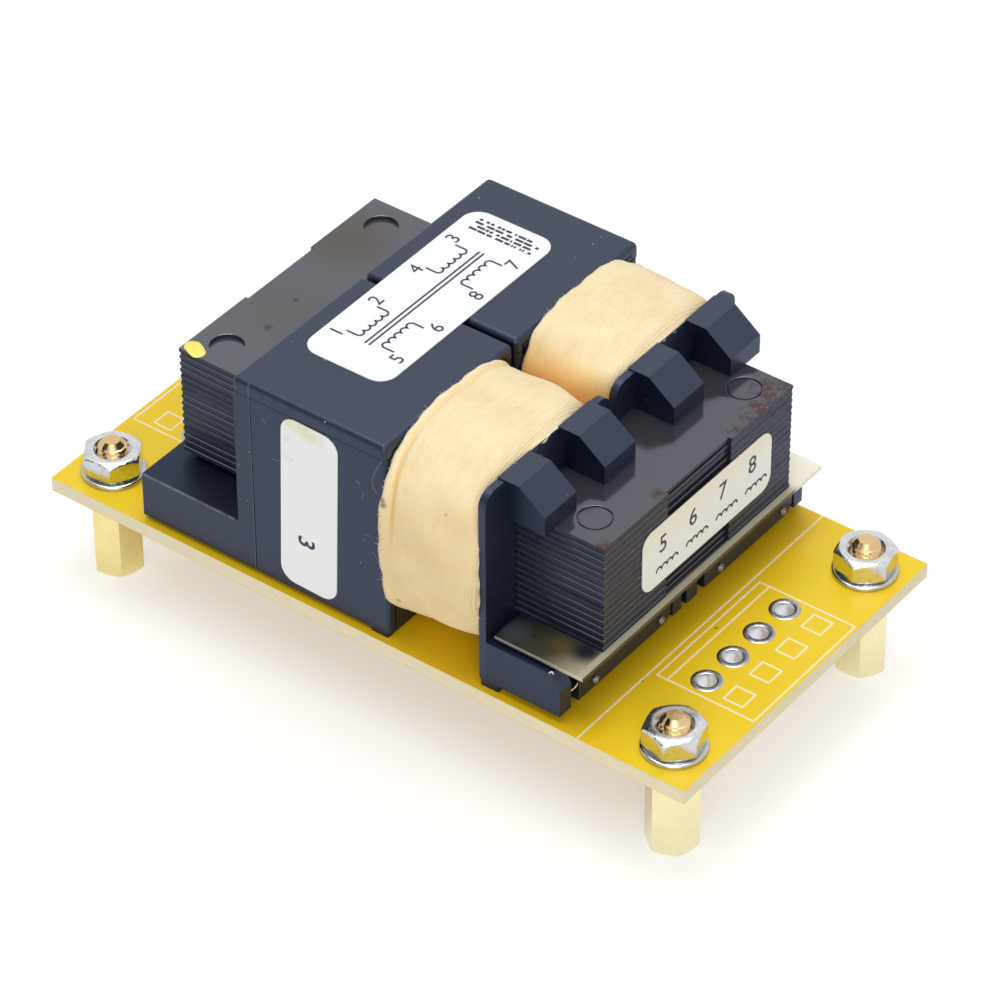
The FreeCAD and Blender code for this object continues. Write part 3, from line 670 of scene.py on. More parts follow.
# Painted shade and light: it is dark where it lies in the shade of the core, and paler towards the output
# end and where it reaches past the core. Its patches are painted reflections, its end face is dark and its
# cut edges have a pale upper rim.
x, y, z = (card.axis(name) for name in "XYZ")
rim = ((y < -18.79) * 0.25 + (x > 25.44) + (y > 19.84)) * (z > 17.55)
cloud = card.noise(2.5, 4.0)
along = x + (y + 17.0) * -0.35
tone = card.blend(along.ramp(15.5, 20.0), (0.010, 0.013, 0.018, 1), (0.058, 0.056, 0.033, 1))
tone = card.blend(along.ramp(20.5, 25.6), tone, (0.46, 0.41, 0.27, 1))
shade_light_and_marks = ((card.mark(21.1, -16.1, CORE_BOTTOM, 1.6) * 0.5, (0.20, 0.12, 0.035, 1)),
           (card.mark(23.5, -15.5, CORE_BOTTOM, 2.3), (0.016, 0.020, 0.026, 1)),
           (card.mark(16.6, -17.2, CORE_BOTTOM, 2.4) * 0.8, (0.075, 0.088, 0.095, 1)),
           (cloud * 0.12, (0.12, 0.115, 0.09, 1)),
           (x.ramp(24.6, 24.9), (0.50, 0.47, 0.34, 1)),
           (x.ramp(25.46, 25.49), (0.03, 0.028, 0.02, 1)),
           (y.ramp(15.0, 16.2), (0.92, 0.87, 0.72, 1)),
           (rim * x.ramp(25.42, 25.36), (0.80, 0.76, 0.64, 1)),
           (card.mark(18.32, -16.66, CORE_BOTTOM, 0.22), (0.01, 0.01, 0.01, 1)))
for share, colour in shade_light_and_marks:
    tone = card.blend(share, tone, colour)
card.set(Base_Color=tone, Roughness=0.28, Coat_Weight=0.3, Coat_Roughness=0.1)
card.relief(cloud + card.noise(0.2) * 0.3, 0.02)
finish_node("insulating_card", card)


# Bobbins. Two alike mouldings in dark blue-grey glass-filled nylon, each with a tube for its leg of the
# core, a shelf for the input pins, a slotted terminal base and gabled hoods for the lead wires.

plastic = Finish("moulded nylon")
cloud = plastic.noise(6.0, 4.0)
grain = plastic.noise(0.16, 3.0)
dust = plastic.specks(1.9, 0.16, 0.045) + plastic.specks(0.9, 0.08, 0.065)
scuff = plastic.noise(1.3, 6.0, (1.0, 1.0, 0.3), 0.7).ramp(0.62, 0.74)
tone = plastic.blend(cloud, (0.0034, 0.0058, 0.016, 1), (0.0050, 0.0078, 0.020, 1))
tone = plastic.blend(scuff * 0.2, tone, (0.05, 0.053, 0.075, 1))

# A painted highlight along the pin shelf's front edge, broken up in patches, dust, a painted shadow line
# under the covers' rim and a pale one where a cover meets the bobbin's flange.
x, y, z = (plastic.axis(name) for name in "XYZ")
shelf_edge = (y < -19.2) * z.between(16.93, 17.12) * (x < -14.75)
shelf_edge_highlight = shelf_edge * plastic.noise(1.1, 5.0, roughness=0.7).ramp(0.38, 0.6)
tone = plastic.blend(shelf_edge_highlight * 0.7, tone, (0.22, 0.22, 0.27, 1))
tone = plastic.blend(dust * 0.7, tone, (0.50, 0.50, 0.52, 1))
outer = (y < -19.3) + (y > 20.0) + (x < -14.66) + x.between(3.36, 3.44)
# Painted shadow: a black line just under the covers' rim.
rim_shadow_line = z.between(32.86, 33.05) * (outer > 0.5) * x.between(-14.8, 3.44)
tone = plastic.blend(rim_shadow_line, tone, (0.004, 0.005, 0.009, 1))
seam = x.between(-12.84, -12.58) * (y < -19.2)
tone = plastic.blend(seam * 0.5, tone, (0.075, 0.08, 0.11, 1))

# Painted shade: faces that lie in shade are made to reflect less.
facing = plastic.node("NewGeometry", output="Normal")
sideways = plastic.axis("Y", facing) < -0.8
upwards = plastic.axis("Z", facing) > 0.8
hood_sides = sideways * (x > 14.9) * (0.17 + (z > 18.0) * 0.18)
shelf_top = upwards * (x < -14.8) * (z < 17.3) * 0.45
plastic.set(Base_Color=tone, Metallic=rim_shadow_line + (hood_sides + shelf_top) * (1 - rim_shadow_line),
            Roughness=grain.ramp(0.3, 0.7, 0.36, 0.50), Specular_IOR_Level=0.85,
            Specular_Tint=(0.62, 0.72, 1.0, 1))
plastic.relief(grain + cloud * 0.6, 0.014)


def weigh_edges(work, width):
    """Marks the outer edges that can be rounded: no short edge meets either of their ends."""
    weight = work.edges.layers.float.new("bevel_weight_edge")
    long_enough = {edge: edge.calc_length() > 3 * width * MM for edge in work.edges}
    for edge in work.edges:
        clear = all(long_enough[other] for vert in edge.verts for other in vert.link_edges)
        if clear and edge.is_manifold and edge.calc_face_angle_signed() > math.radians(40):
            edge[weight] = 1.0


def dressed(node, name, finish, width):
    """A copy of a CAD piece with its flat faces made whole and its edges slightly rounded."""
    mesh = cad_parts[node].data.copy()
    mesh.name = name
    for layer in list(mesh.attributes):
        if layer.name in ("custom_normal", "sharp_face", "sharp_edge"):
            mesh.attributes.remove(layer)
    work = bmesh.new()
    work.from_mesh(mesh)
    bmesh.ops.remove_doubles(work, verts=work.verts, dist=1e-3 * MM)
    bmesh.ops.dissolve_limit(work, angle_limit=math.radians(1.0), verts=work.verts, edges=work.edges)
    bmesh.ops.recalc_face_normals(work, faces=work.faces)
    weigh_edges(work, width)
    work.to_mesh(mesh)
    work.free()
    mesh.materials.clear()
    mesh.materials.append(finish.material)
    mesh.shade_smooth()
    mesh.set_sharp_from_angle(angle=math.radians(30))
    made = bpy.data.objects.new(name, mesh)
    bpy.context.scene.collection.objects.link(made)
    bevel = made.modifiers.new("edges", "BEVEL")
    bevel.width = width * MM
    bevel.segments = 2
    bevel.limit_method = "WEIGHT"
    bevel.harden_normals = True
    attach(made, "root")
    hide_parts(node)


for end in ("front", "back"):
    dressed("bobbin_" + end, end + "_bobbin", plastic, 0.13)


# Windings. Enamelled copper wire, wound in layers on the bobbins. Only slivers of it show past the tape
# and through the slots of the bobbins.

copper = Finish("enamelled copper")
turns_seen = copper.node("TexWave", {"wave_type": "BANDS", "bands_direction": "X"},
                         {"Vector": copper.place(), "Scale": 0.35 / 0.3, "Distortion": 0.4}, "Fac")
copper.set(Base_Color=copper.blend(turns_seen, (0.30, 0.08, 0.02, 1), (0.72, 0.26, 0.08, 1)), Metallic=0.8,
           Roughness=0.3, Coat_Weight=0.6, Coat_Roughness=0.1)
copper.relief(turns_seen, 0.1)
for node in ("input_winding_front", "input_winding_back"):
    finish_node(node, copper)


# Cloth tape. Glass-cloth tape wrapped tightly over each output winding and soaked in varnish: cream on top,
# with painted amber shade low on its outer sides and between the coils, a crease along one edge and loose
# fibres at both.

COIL_Z = 23.95
COIL_START, COIL_END = 3.42, 14.14
COVER_EDGE, FLANGE = 3.4, 14.0
OUTWARD_REACH, INWARD_REACH = 11.453, 9.93
UPWARD_RISE, DOWNWARD_RISE = 11.9, 11.3
WIRE_START, WIRE_STOP = 3.55, 13.85
WIRE_THICK = 0.4
FRONT_LEG_Y, BACK_LEG_Y = -9.717, 10.417
MIDDLE_Y = (FRONT_LEG_Y + BACK_LEG_Y) / 2
CREASE_X, CREASE_SHIFT = 4.3, 0.6
WARP, WEFT = 0.25, 0.27


def coil_ring(angle, share_x, side, shrink):
    """Soft rectangle round the leg: |across|^n + |up|^n = 1 with its own half-size each way."""
    aside, upward = np.cos(angle), np.sin(angle)
    outward = aside > 0
    share = 0.99 + 0.06 * share_x - 0.10 * share_x ** 2
    power = np.where(outward, 2.35 + 0.3 * (1 - share_x), 3.5)
    reach = np.where(outward, OUTWARD_REACH * share, INWARD_REACH) - shrink
    rise = np.where(upward > 0, UPWARD_RISE, DOWNWARD_RISE) * share - shrink
    length = (np.abs(aside) ** power + np.abs(upward) ** power) ** (-1 / power)
    return side * reach * aside * length, rise * upward * length


def ripple(angle, x, seed):
    """Gentle unevenness of a hand-wrapped tape, in millimetres, positive outwards."""
    rng = np.random.default_rng(seed)
    total = np.zeros(np.broadcast(angle, x).shape)
    for k in range(14):
        turns = rng.integers(2, 17)
        along = rng.uniform(0.1, 1.1)
        total = total + rng.normal(0, 0.03) * np.sin(turns * angle + along * x + rng.uniform(0, 6.3))
    return total


def end_sink(angle, x):
    """How far the coil falls away towards the flange: most on top, little at the sides."""
    upper = np.clip(np.sin(angle), 0, 1)
    away = COIL_END - x
    return 0.9 * upper * np.exp(-(away / 0.85) ** 2) + 0.6 * (1 - upper) * np.exp(-(away / 0.4) ** 2)


def share_along(x):
    """Share of the coil's length at x: 0 at the cover, 1 at the flange."""
    return (x - COVER_EDGE) / (FLANGE - COVER_EDGE)


def crease_place(angle):
    """Where the crease runs: it leaves the edge while the tape comes down from the top."""
    height = COIL_Z + 11.5 * np.sin(angle)
    fall = np.clip((35.0 - height) / 7.0, 0, 1)
    return CREASE_X + CREASE_SHIFT * fall * fall * (3 - 2 * fall)


def wire_shape(centre_y, side, seed):
    """The coil under the tape: a closed body whose outer face is ribbed by the turns of wire."""
    angle = 2 * np.pi * np.arange(240)[None, :] / 240
    x = np.linspace(WIRE_START, WIRE_STOP, 206)[:, None]
    rib = 0.06 * np.abs(np.sin(np.pi * (x + WIRE_THICK * angle / 2 / np.pi) / WIRE_THICK))
    depth = 0.62 + end_sink(angle, x) - np.clip(ripple(angle, x, seed), -0.1, 0.1) - rib
    across, up = coil_ring(angle, share_along(x), side, depth)
    outer = np.stack([x + 0 * angle, centre_y + across, COIL_Z + up], -1)
    across, up = coil_ring(angle, 0.5, side, 4.2)
    ends = [np.stack([end + 0 * angle, centre_y + across, COIL_Z + up], -1)
            for end in (WIRE_STOP, WIRE_START)]
    return np.concatenate([outer] + ends)


def tape_shape(centre_y, side, seed):
    """A closed band: outer face, turned-in edges and inner face; the front one has a crease at its left."""
    columns = 420
    angle = 2 * np.pi * np.arange(columns)[None, :] / columns
    start = COIL_START + 0.05 * np.sin(31 * angle + seed) + 0.06 * np.sin(13 * angle) + 0.06
    end = COIL_END - 0.05 * np.sin(27 * angle + seed) - 0.05 * np.sin(11 * angle) - 0.06
    stretches = [np.linspace(0, 0.14, 12), np.linspace(0.16, 0.9, 44), np.linspace(0.92, 1, 7)]
    x = start + (end - start) * np.concatenate(stretches)[:, None]
    crease_depth, lip_height = (0.15, 0.14) if side < 0 else (0.02, 0.04)
    creased = crease_depth * np.clip(np.sin(angle) * 3 + 0.3, 0, 1)
    sink = 0.11 + creased * np.exp(-((x - crease_place(angle)) / 0.28) ** 2) + end_sink(angle, x)
    sink = sink - lip_height * np.exp(-((x - start - 0.3) / 0.35) ** 2) + 0.12 * np.exp(-(x - start) / 0.12)
    sink = sink - ripple(angle, x, seed)
    across, up = coil_ring(angle, share_along(x), side, np.clip(sink, -0.15, None))
    outer = np.stack([x, centre_y + across, COIL_Z + up], -1)
    inner_x = start + (end - start) * np.array([1.0, 0.0])[:, None]
    across, up = coil_ring(angle, share_along(inner_x), side, np.array([[1.75], [0.8]]))
    inner = np.stack([inner_x, centre_y + across, COIL_Z + up], -1)
    return np.concatenate([outer, inner])


def cloth_map(band, grid, period):
    """Lays the cloth out flat: round the coil, in whole threads, and across it, in millimetres."""
    columns = grid.shape[1]
    step = np.linalg.norm(np.roll(grid, -1, 1) - grid, axis=-1)
    run = np.concatenate([np.zeros((len(grid), 1)), np.cumsum(step, 1)], 1)
    run = run * np.round(run[:, -1:] / period) * period / run[:, -1:]
    corner = np.zeros(len(band.data.loops), np.int32)
    band.data.loops.foreach_get("vertex_index", corner)
    row, column = np.divmod(corner.reshape(-1, 4), columns)
    last = (column.max(1) - column.min(1) > 1)[:, None] & (column == 0)
    spread = np.stack([run[row, np.where(last, columns, column)], grid[row, column, 0]], -1)
    layer = band.data.uv_layers.new(name="cloth")
    layer.data.foreach_set("uv", spread.astype(np.float32).reshape(-1))


def fibres(grid, seed, amount):
    """Loose ends of yarn at both edges: thin three-sided prisms that bend away from the edge."""
    rng = np.random.default_rng(seed)
    middle = grid.reshape(-1, 3).mean(0)
    parts = []
    for row, outward in ((0, -1.0), (grid.shape[0] - 3, 1.0)):
        at = rng.integers(0, grid.shape[1], amount)
        root = grid[row, at] + np.array([outward * -0.12, 0, 0])
        away = root - middle
        away[:, 0] = 0
        away = away / np.linalg.norm(away, axis=1)[:, None]
        round_it = np.cross(away, [1.0, 0, 0])
        root = root + round_it * np.linspace(0, 0.3, amount)[:, None]
        length = rng.uniform(0.10, 0.50, amount)[:, None] * rng.uniform(0.3, 1, amount)[:, None] ** 1.5
        lean = rng.normal(0, 0.8, amount)[:, None]
        rise = rng.uniform(-0.1, 0.75, amount)[:, None]
        heading = np.array([outward, 0, 0]) + lean * round_it + rise * away
        heading = heading / np.linalg.norm(heading, axis=1)[:, None]
        thick = rng.uniform(0.018, 0.034, amount)[:, None, None]
        steps = np.linspace(0, 1, 4)[None, :, None]
        droop = 0.12 * (length * away)[:, None]
        spine = root[:, None] + steps * (length * heading)[:, None] + steps ** 2 * droop
        sides = np.stack([round_it, -0.5 * round_it + 0.87 * away, -0.5 * round_it - 0.87 * away], 1)
        taper = (1 - 0.7 * steps)[..., None]
        points = spine[:, :, None] + thick[..., None] * taper * sides[:, None]
        one = np.concatenate([grid_faces(4, 3, False, True), [[0, 1, 2, 2], [11, 10, 9, 9]]])
        faces = (one[None] + 12 * np.arange(amount)[:, None, None]).reshape(-1, 4)
        parts.append((points.reshape(-1, 3), faces))
    return joined(parts)


tape = Finish("varnished glass cloth")
spread = tape.node("UVMap", {"uv_map": "cloth"})
wander = tape.noise(0.8, 3.0)
warp = (tape.axis("Y", spread) + wander * 0.06).wave(WARP)
weft = (tape.axis("X", spread) + wander * 0.08).wave(WEFT)
cross = warp * 0.5 + weft * 0.3 + warp * weft * 0.25
cloud = tape.noise(3.5, 4.0)
slub = tape.noise(0.5, 3.0, (1.0, 0.2, 0.2))
varnish = (cloud * 0.6 + slub * 0.4 - cross * 0.05).ramp(0.28, 0.62)
tone = tape.blend(varnish, (0.89, 0.70, 0.38, 1), (0.95, 0.81, 0.52, 1))
tone = tape.blend(cross.ramp(0.1, -0.8) * 0.22, tone, (0.76, 0.52, 0.22, 1))

# Painted shade: amber low on the outer side and in the valley between the coils. The cloth is brown along
# the front crease.
x, y, height = (tape.axis(name) for name in "XYZ")
aside = y - MIDDLE_Y
in_front = y < MIDDLE_Y
outward = (aside * aside).ramp(150.0, 330.0)
tone = tape.blend(height.ramp(33.5, 27.0) * outward * 0.40, tone, (0.76, 0.57, 0.22, 1))
beyond = x - height.ramp(35.0, 28.0, CREASE_X, CREASE_X + CREASE_SHIFT)
crease = beyond.ramp(-0.35, 0.0) * beyond.ramp(0.05, 0.5, 1.0, 0.0) * height.ramp(35.5, 32.0, 0.25, 0.8)
crease = crease * height.ramp(24.5, 28.5) * in_front
tone = tape.blend(crease * cloud.ramp(0.30, 0.55, 0.5, 1.0), tone, (0.82, 0.50, 0.13, 1))
valley_shade = (aside * aside).ramp(0.3, 8.0, 1.0, 0.0)
tone = tape.blend(valley_shade * height.ramp(35.0, 31.5, 0.2, 0.75), tone, (0.93, 0.55, 0.15, 1))

# The cut edges are pale and frayed. Dust, grit and brown spots cling to the cloth.
frayed = tape.noise(0.25, 4.0, roughness=0.7).ramp(0.35, 0.6, -0.15, 0.15)
cut = (x + frayed).ramp(3.72, 3.6) + (x + frayed).ramp(13.98, 14.10) * height.ramp(28.0, 32.0, 0.15, 1.0)
tone = tape.blend(cut * 0.75, tone, (0.90, 0.87, 0.78, 1))
grime = (x + frayed * 2).ramp(4.15, 3.6) * height.ramp(31.0, 27.0) * in_front
grime = grime * tape.noise(0.3, 4.0, roughness=0.7).ramp(0.42, 0.6)
tone = tape.blend(grime * 0.75, tone, (0.36, 0.33, 0.31, 1))
grit = tape.specks(1.1, 0.06, 0.045)
tone = tape.blend(grit * 0.8, tone, (0.18, 0.09, 0.03, 1))
for spot in ((3.76, -20.5, 29.4, 0.42), (3.96, -20.63, 28.95, 0.5), (10.54, -19.83, 30.5, 0.3),
             (5.0, -20.0, 17.4, 0.5)):
    tone = tape.blend(tape.mark(*spot) * 0.75, tone, (0.26, 0.11, 0.06, 1))
tape.set(Base_Color=tone, Roughness=0.62, Specular_IOR_Level=0.3, Subsurface_Weight=0.12,
         Subsurface_Radius=(1.2 * MM, 0.7 * MM, 0.3 * MM), Subsurface_Scale=1.0)
tape.relief(cross * 0.5 + slub * 0.7 + cloud * 0.5, 0.04)

for end, centre_y, side, seed in (("front", FRONT_LEG_Y, -1, 5), ("back", BACK_LEG_Y, 1, 9)):
    grid = wire_shape(centre_y, side, seed)
    piece(end + "_wire_coil", (grid.reshape(-1, 3), grid_faces(*grid.shape[:2], True, True)), copper,
          ["output_winding_" + end], 60.0)
    grid = tape_shape(centre_y, side, seed)
    band = piece(end + "_cloth_tape", (grid.reshape(-1, 3), grid_faces(*grid.shape[:2], True, True)), tape,
                 ["output_tape_" + end], 60.0)
    cloth_map(band, grid, WEFT)
    yarn_ends = fibres(grid, seed + 40, 620)
    fuzz = piece(end + "_loose_yarn", yarn_ends, tape, (), 60.0)
    fuzz.data.uv_layers.new(name="cloth")


# Covers. Channel-shaped caps over the input windings, in the same nylon, with a raised rim and a seam
# where the two meet.

for end in ("front", "back"):
    dressed("input_cover_" + end, end + "_cover", plastic, 0.14)


# Pins and solder. Square tinned pins through the board, wetted by concave cones of solder below it, and
# bent output pins with the winding's ends wrapped round them and soldered.

solder = Finish("bright solder")
cloud = solder.noise(0.6, 4.0)
solder.set(Base_Color=solder.blend(cloud, (0.62, 0.63, 0.64, 1), (0.88, 0.88, 0.87, 1)), Metallic=1.0,
           Roughness=cloud.ramp(0.3, 0.7, 0.12, 0.3))
solder.relief(cloud, 0.05)
for node in ("input_pins", "output_pins"):
    finish_node(node, tin)

INPUT_PIN_X, OUTPUT_PIN_X = -24.6, 21.9
ARM_X, ARM_Z, TURN_RADIUS = 23.34, 13.2, 0.34
pin_rows = [centre + offset for centre in (FRONT_LEG_Y, BACK_LEG_Y) for offset in (-4.2, 6.3)]
pin_spots = [(x, y) for x in (INPUT_PIN_X, OUTPUT_PIN_X) for y in pin_rows]


def solder_cone(x, y):
    """Fillet that climbs the pin: wide and thin on the board, steep at the pin, closed by the pin's end."""
    share = np.linspace(0, 1, 14)
    radius = 1.1 - 0.72 * share ** 0.6
    level = BOARD_BOTTOM - 0.95 * share ** 1.9
    radius = np.concatenate([[0.0], radius, [0.3, 0.0]])
    level = np.concatenate([[BOARD_BOTTOM], level, [9.0, 9.0]])
    return swept(np.repeat(radius[:, None], 32, 1), level[:, None], x, y)


piece("solder_cones", joined([solder_cone(x, y) for x, y in pin_spots]), solder, ["solder_joints"])


def tube_along(path, radius, sides):
    """Round wire along a path of points, closed at both ends."""
    path = np.array(path)
    ahead = np.gradient(path, axis=0)
    ahead = ahead / np.linalg.norm(ahead, axis=1)[:, None]
    first = np.cross(ahead, [0.31, 0.52, 0.8])
    first = first / np.linalg.norm(first, axis=1)[:, None]
    second = np.cross(ahead, first)
    angle = 2 * np.pi * np.arange(sides) / sides
    ring = first[:, None] * np.cos(angle)[None, :, None] + second[:, None] * np.sin(angle)[None, :, None]
    points = path[:, None] + radius * ring
    tips = [np.repeat(tip[None, None], sides, 1) for tip in (path[0], path[-1])]
    closed = np.concatenate([tips[0], points, tips[1]])
    return closed.reshape(-1, 3), grid_faces(len(closed), sides, False, True)


def curve(points, steps=40):
    """Smooth path through a few points: a cubic from each to the next, with the slope of its neighbours."""
    points = np.array([points[0]] + list(points) + [points[-1]], float)
    stretches = len(points) - 3
    share = np.linspace(0, 1, steps // stretches, endpoint=False)[:, None]
    path = []
    for k in range(stretches):
        before, start, end, after = points[k:k + 4]
        path.append(0.5 * (2 * start + (end - before) * share
                           + (2 * before - 5 * start + 4 * end - after) * share ** 2
                           + (3 * start - before - 3 * end + after) * share ** 3))
    return np.concatenate(path + [points[-1:]])


def wire_end(y):
    """Two turns of thin wire round the arm of an output pin, then a short cut end that stands up."""
    turn = np.linspace(0, 4 * np.pi, 60)
    across, up = TURN_RADIUS * np.cos(turn), TURN_RADIUS * np.sin(turn)
    coil = np.stack([ARM_X + 0.012 * turn, y + across, ARM_Z + up], -1)
    tail = coil[-1] + np.array([[0.02, 0.06, 0.08], [0.03, 0.1, 0.17]])
    return tube_along(np.concatenate([coil, tail]), 0.06, 8)


loose = [curve([(22.15, -18.9, 16.9), (22.12, -19.3, 17.0), (22.2, -19.44, 17.3), (22.42, -19.4, 17.45),
                (22.5, -19.3, 17.2)]),
         curve([(23.0, -17.55, 14.0), (23.2, -17.3, 14.25), (23.3, -16.9, 14.4), (23.2, -16.55, 14.55)])]
dull = Finish("dull solder")
dull.set(Base_Color=dull.blend(dull.noise(0.3, 4.0), (0.13, 0.12, 0.11, 1), (0.46, 0.42, 0.37, 1)),
         Metallic=1.0, Roughness=0.42)
dull.relief(dull.noise(0.15), 0.02)
piece("soldered_wire_ends", joined([wire_end(y) for y in pin_rows]), dull)
piece("loose_wire_ends", joined([tube_along(path, 0.09, 8) for path in loose]), solder)


# Labels. White film labels on the covers, the front and the end of the core, printed in dark blue with
# plain terminal numbers, a winding diagram and a row of bars.

FILM_THICK = 0.12
INK_THICK = 0.03
STROKE = 0.2
FIGURE_SHARE = 0.69
COVER_TOP, COVER_FRONT = 34.6, -19.37
TOP_PRINT = COVER_TOP + FILM_THICK
END_PRINT = 24.92

film = Finish("white label film")
cloud = film.noise(5.0, 3.0)
tone = film.blend(cloud, (0.90, 0.91, 0.93, 1), (0.94, 0.945, 0.955, 1))
smudge = film.noise(0.9, 5.0, roughness=0.7).ramp(0.56, 0.7)
tone = film.blend(smudge * 0.06, tone, (0.45, 0.42, 0.38, 1))

# The film at the core's end has aged, and the front one has marks of glue and scratches.
aged = (film.axis("X") > 24.0) * (film.axis("Z") + cloud * 3.0).ramp(25.5, 28.5)
tone = film.blend(aged * 0.45, tone, (0.90, 0.84, 0.48, 1))
glue_spots = ((-7.6, 32.4, 1.7, 0.45), (-5.9, 32.0, 1.5, 0.5), (-4.5, 31.7, 1.2, 0.3))
glue = sum(film.mark(x, -19.5, z, reach) * share for x, z, reach, share in glue_spots)
glue = glue * cloud.ramp(0.2, 0.6, 0.6, 1.0) + film.mark(24.95, 0.66, 21.9, 0.5) * 0.6
tone = film.blend(glue, tone, (0.78, 0.70, 0.36, 1))
scratch = film.mark(-8.1, -19.5, 30.2, 0.7) + film.mark(-8.2, -19.5, 28.1, 1.0)
scratch = scratch * film.noise(0.35, 4.0, (1.0, 1.0, 2.0), 0.7).ramp(0.54, 0.62)
tone = film.blend(scratch * 0.5, tone, (0.25, 0.27, 0.20, 1))
film.set(Base_Color=tone, Roughness=0.5, Specular_IOR_Level=0.3)
film.relief(film.noise(0.4, 3.0) * 0.4 + cloud, 0.02)
finish_node("end_label", film)

print_ink = Finish("dark blue ink")
print_ink.set(Base_Color=print_ink.blend(print_ink.noise(0.3, 4.0), (0.012, 0.012, 0.035, 1),
                                         (0.035, 0.035, 0.09, 1)), Roughness=0.5)
print_ink.relief(print_ink.noise(0.1), 0.005)


def ribbon(path, width=STROKE):
    """Flat stroke of ink along a level path, a little thick so that it is closed."""
    path = np.array(path, float)
    ahead = np.gradient(path, axis=0)
    ahead = ahead / np.linalg.norm(ahead, axis=1)[:, None]
    side = np.stack([-ahead[:, 1], ahead[:, 0]], -1) * width / 2
    corners = ((-1, 0.0), (-1, INK_THICK), (1, INK_THICK), (1, 0.0))
    rows = np.stack([np.concatenate([path + way * side, np.full((len(path), 1), level)], 1)
                     for way, level in corners], 1)
    return rows.reshape(-1, 3), closed_bar(len(path))


def on_label(shape, origin, right, up):
    """Places a drawing made in the plane on a label, from its right and up directions."""
    points, faces = shape
    right, up = np.array(right, float), np.array(up, float)
    out = np.cross(right, up)
    return np.array(origin) + points[:, :1] * right + points[:, 1:2] * up + points[:, 2:] * out, faces


def on_top(shape, x, y):
    """Places a drawing on the top label, to be read from its right."""
    return on_label(shape, (x, y, TOP_PRINT), (0, 1, 0), (-1, 0, 0))


def on_end(shape, y, z):
    """Places a drawing on the label at the core's end."""
    return on_label(shape, (END_PRINT, y, z), (0, 1, 0), (0, 0, 1))


def numeral(text, height, bold=0.0):
    """One figure from the built-in font, centred: its flat face twice, with walls along the open edges."""
    letter = bpy.data.curves.new("figure", "FONT")
    letter.body = text
    letter.size = height / FIGURE_SHARE
    letter.offset = bold
    letter.resolution_u = 4
    holder = bpy.data.objects.new("figure", letter)
    bpy.context.scene.collection.objects.link(holder)
    bpy.context.view_layer.update()
    mesh = bpy.data.meshes.new_from_object(holder)
    bpy.data.objects.remove(holder)
    mesh.calc_loop_triangles()
    places = np.zeros(3 * len(mesh.vertices), np.float32)
    mesh.vertices.foreach_get("co", places)
    corner = np.zeros(3 * len(mesh.loop_triangles), np.int32)
    mesh.loop_triangles.foreach_get("vertices", corner)
    bpy.data.meshes.remove(mesh)
    flat = np.round(places.reshape(-1, 3)[:, :2].astype(float), 4)
    flat, same = np.unique(flat, axis=0, return_inverse=True)
    corner = same.reshape(-1)[corner].reshape(-1, 3)
    count = len(flat)
    edge = np.concatenate([corner[:, [0, 1]], corner[:, [1, 2]], corner[:, [2, 0]]])
    open_edge = edge[~np.isin(edge[:, 0] * count + edge[:, 1], edge[:, 1] * count + edge[:, 0])]
    walls = np.concatenate([open_edge[:, ::-1], open_edge + count], 1)
    faces = np.concatenate([corner[:, [0, 1, 2, 2]] + count, corner[:, [2, 1, 0, 0]], walls])
    flat = flat - (flat.min(0) + flat.max(0)) / 2
    level = np.repeat([0.0, INK_THICK], count)[:, None]
    return np.concatenate([np.concatenate([flat, flat]), level], 1), faces


def winding_loops(start, end, count, bulge):
    """A row of half circles along the first axis, as a coil is drawn in a diagram."""
    share = np.linspace(0, 1, count * 14 + 1)
    turn = share * count * np.pi % np.pi
    turn[-1] = np.pi
    radius = (end - start) / count / 2
    centre = start + radius * (2 * np.minimum(np.floor(share * count), count - 1) + 1)
    return np.stack([centre - radius * np.cos(turn), bulge * radius * np.sin(turn)], -1)


def film_sheet(width, height, radius):
    """A rectangle with rounded corners, centred, with slightly rolled edges, closed below and above."""
    turn = np.linspace(0, np.pi / 2, 12)
    quarter = np.stack([np.cos(turn), np.sin(turn)], -1) * radius
    flips = ((1, 1), (-1, 1), (-1, -1), (1, -1))
    half = np.array([width / 2 - radius, height / 2 - radius])
    rim = np.concatenate([(half + (quarter if a * b > 0 else quarter[::-1])) * (a, b) for a, b in flips])
    steps = np.array([(0.0, 0.0), (1.0, 0.0), (1.0, FILM_THICK - 0.02), (0.997, FILM_THICK),
                      (0.98, FILM_THICK), (0.0, FILM_THICK)])
    flat = steps[:, None, :1] * rim[None]
    return raised(flat, steps[:, 1, None, None]), grid_faces(len(steps), len(rim), False, True)


def turned(degrees, right, up):
    """The two directions of a label that was put on slightly askew."""
    cosine, sine = math.cos(math.radians(degrees)), math.sin(math.radians(degrees))
    right, up = np.array(right, float), np.array(up, float)
    return cosine * right + sine * up, cosine * up - sine * right


top_right, top_up = turned(0.4, (0, 1, 0), (-1, 0, 0))
top_film = on_label(film_sheet(27.4, 10.1, 1.9), (-7.42, 1.45, COVER_TOP), top_right, top_up)
piece("top_film", top_film, film, ["top_label"])
side_right, side_up = turned(-2.0, (1, 0, 0), (0, 0, 1))
side_film = on_label(film_sheet(6.70, 19.95, 1.7), (-5.87, COVER_FRONT, 22.78), side_right, side_up)
piece("side_film", side_film, film, ["side_label"])

numbers = (("3", -11.14, 9.81), ("4", -11.04, 3.77), ("2", -11.01, -2.38), ("1", -11.0, -8.4),
           ("7", -3.97, 9.9), ("8", -3.84, 3.88), ("6", -3.81, -2.3), ("5", -3.84, -8.34))
top_marks = [on_top(numeral(text, 1.5), x, y) for text, x, y in numbers]


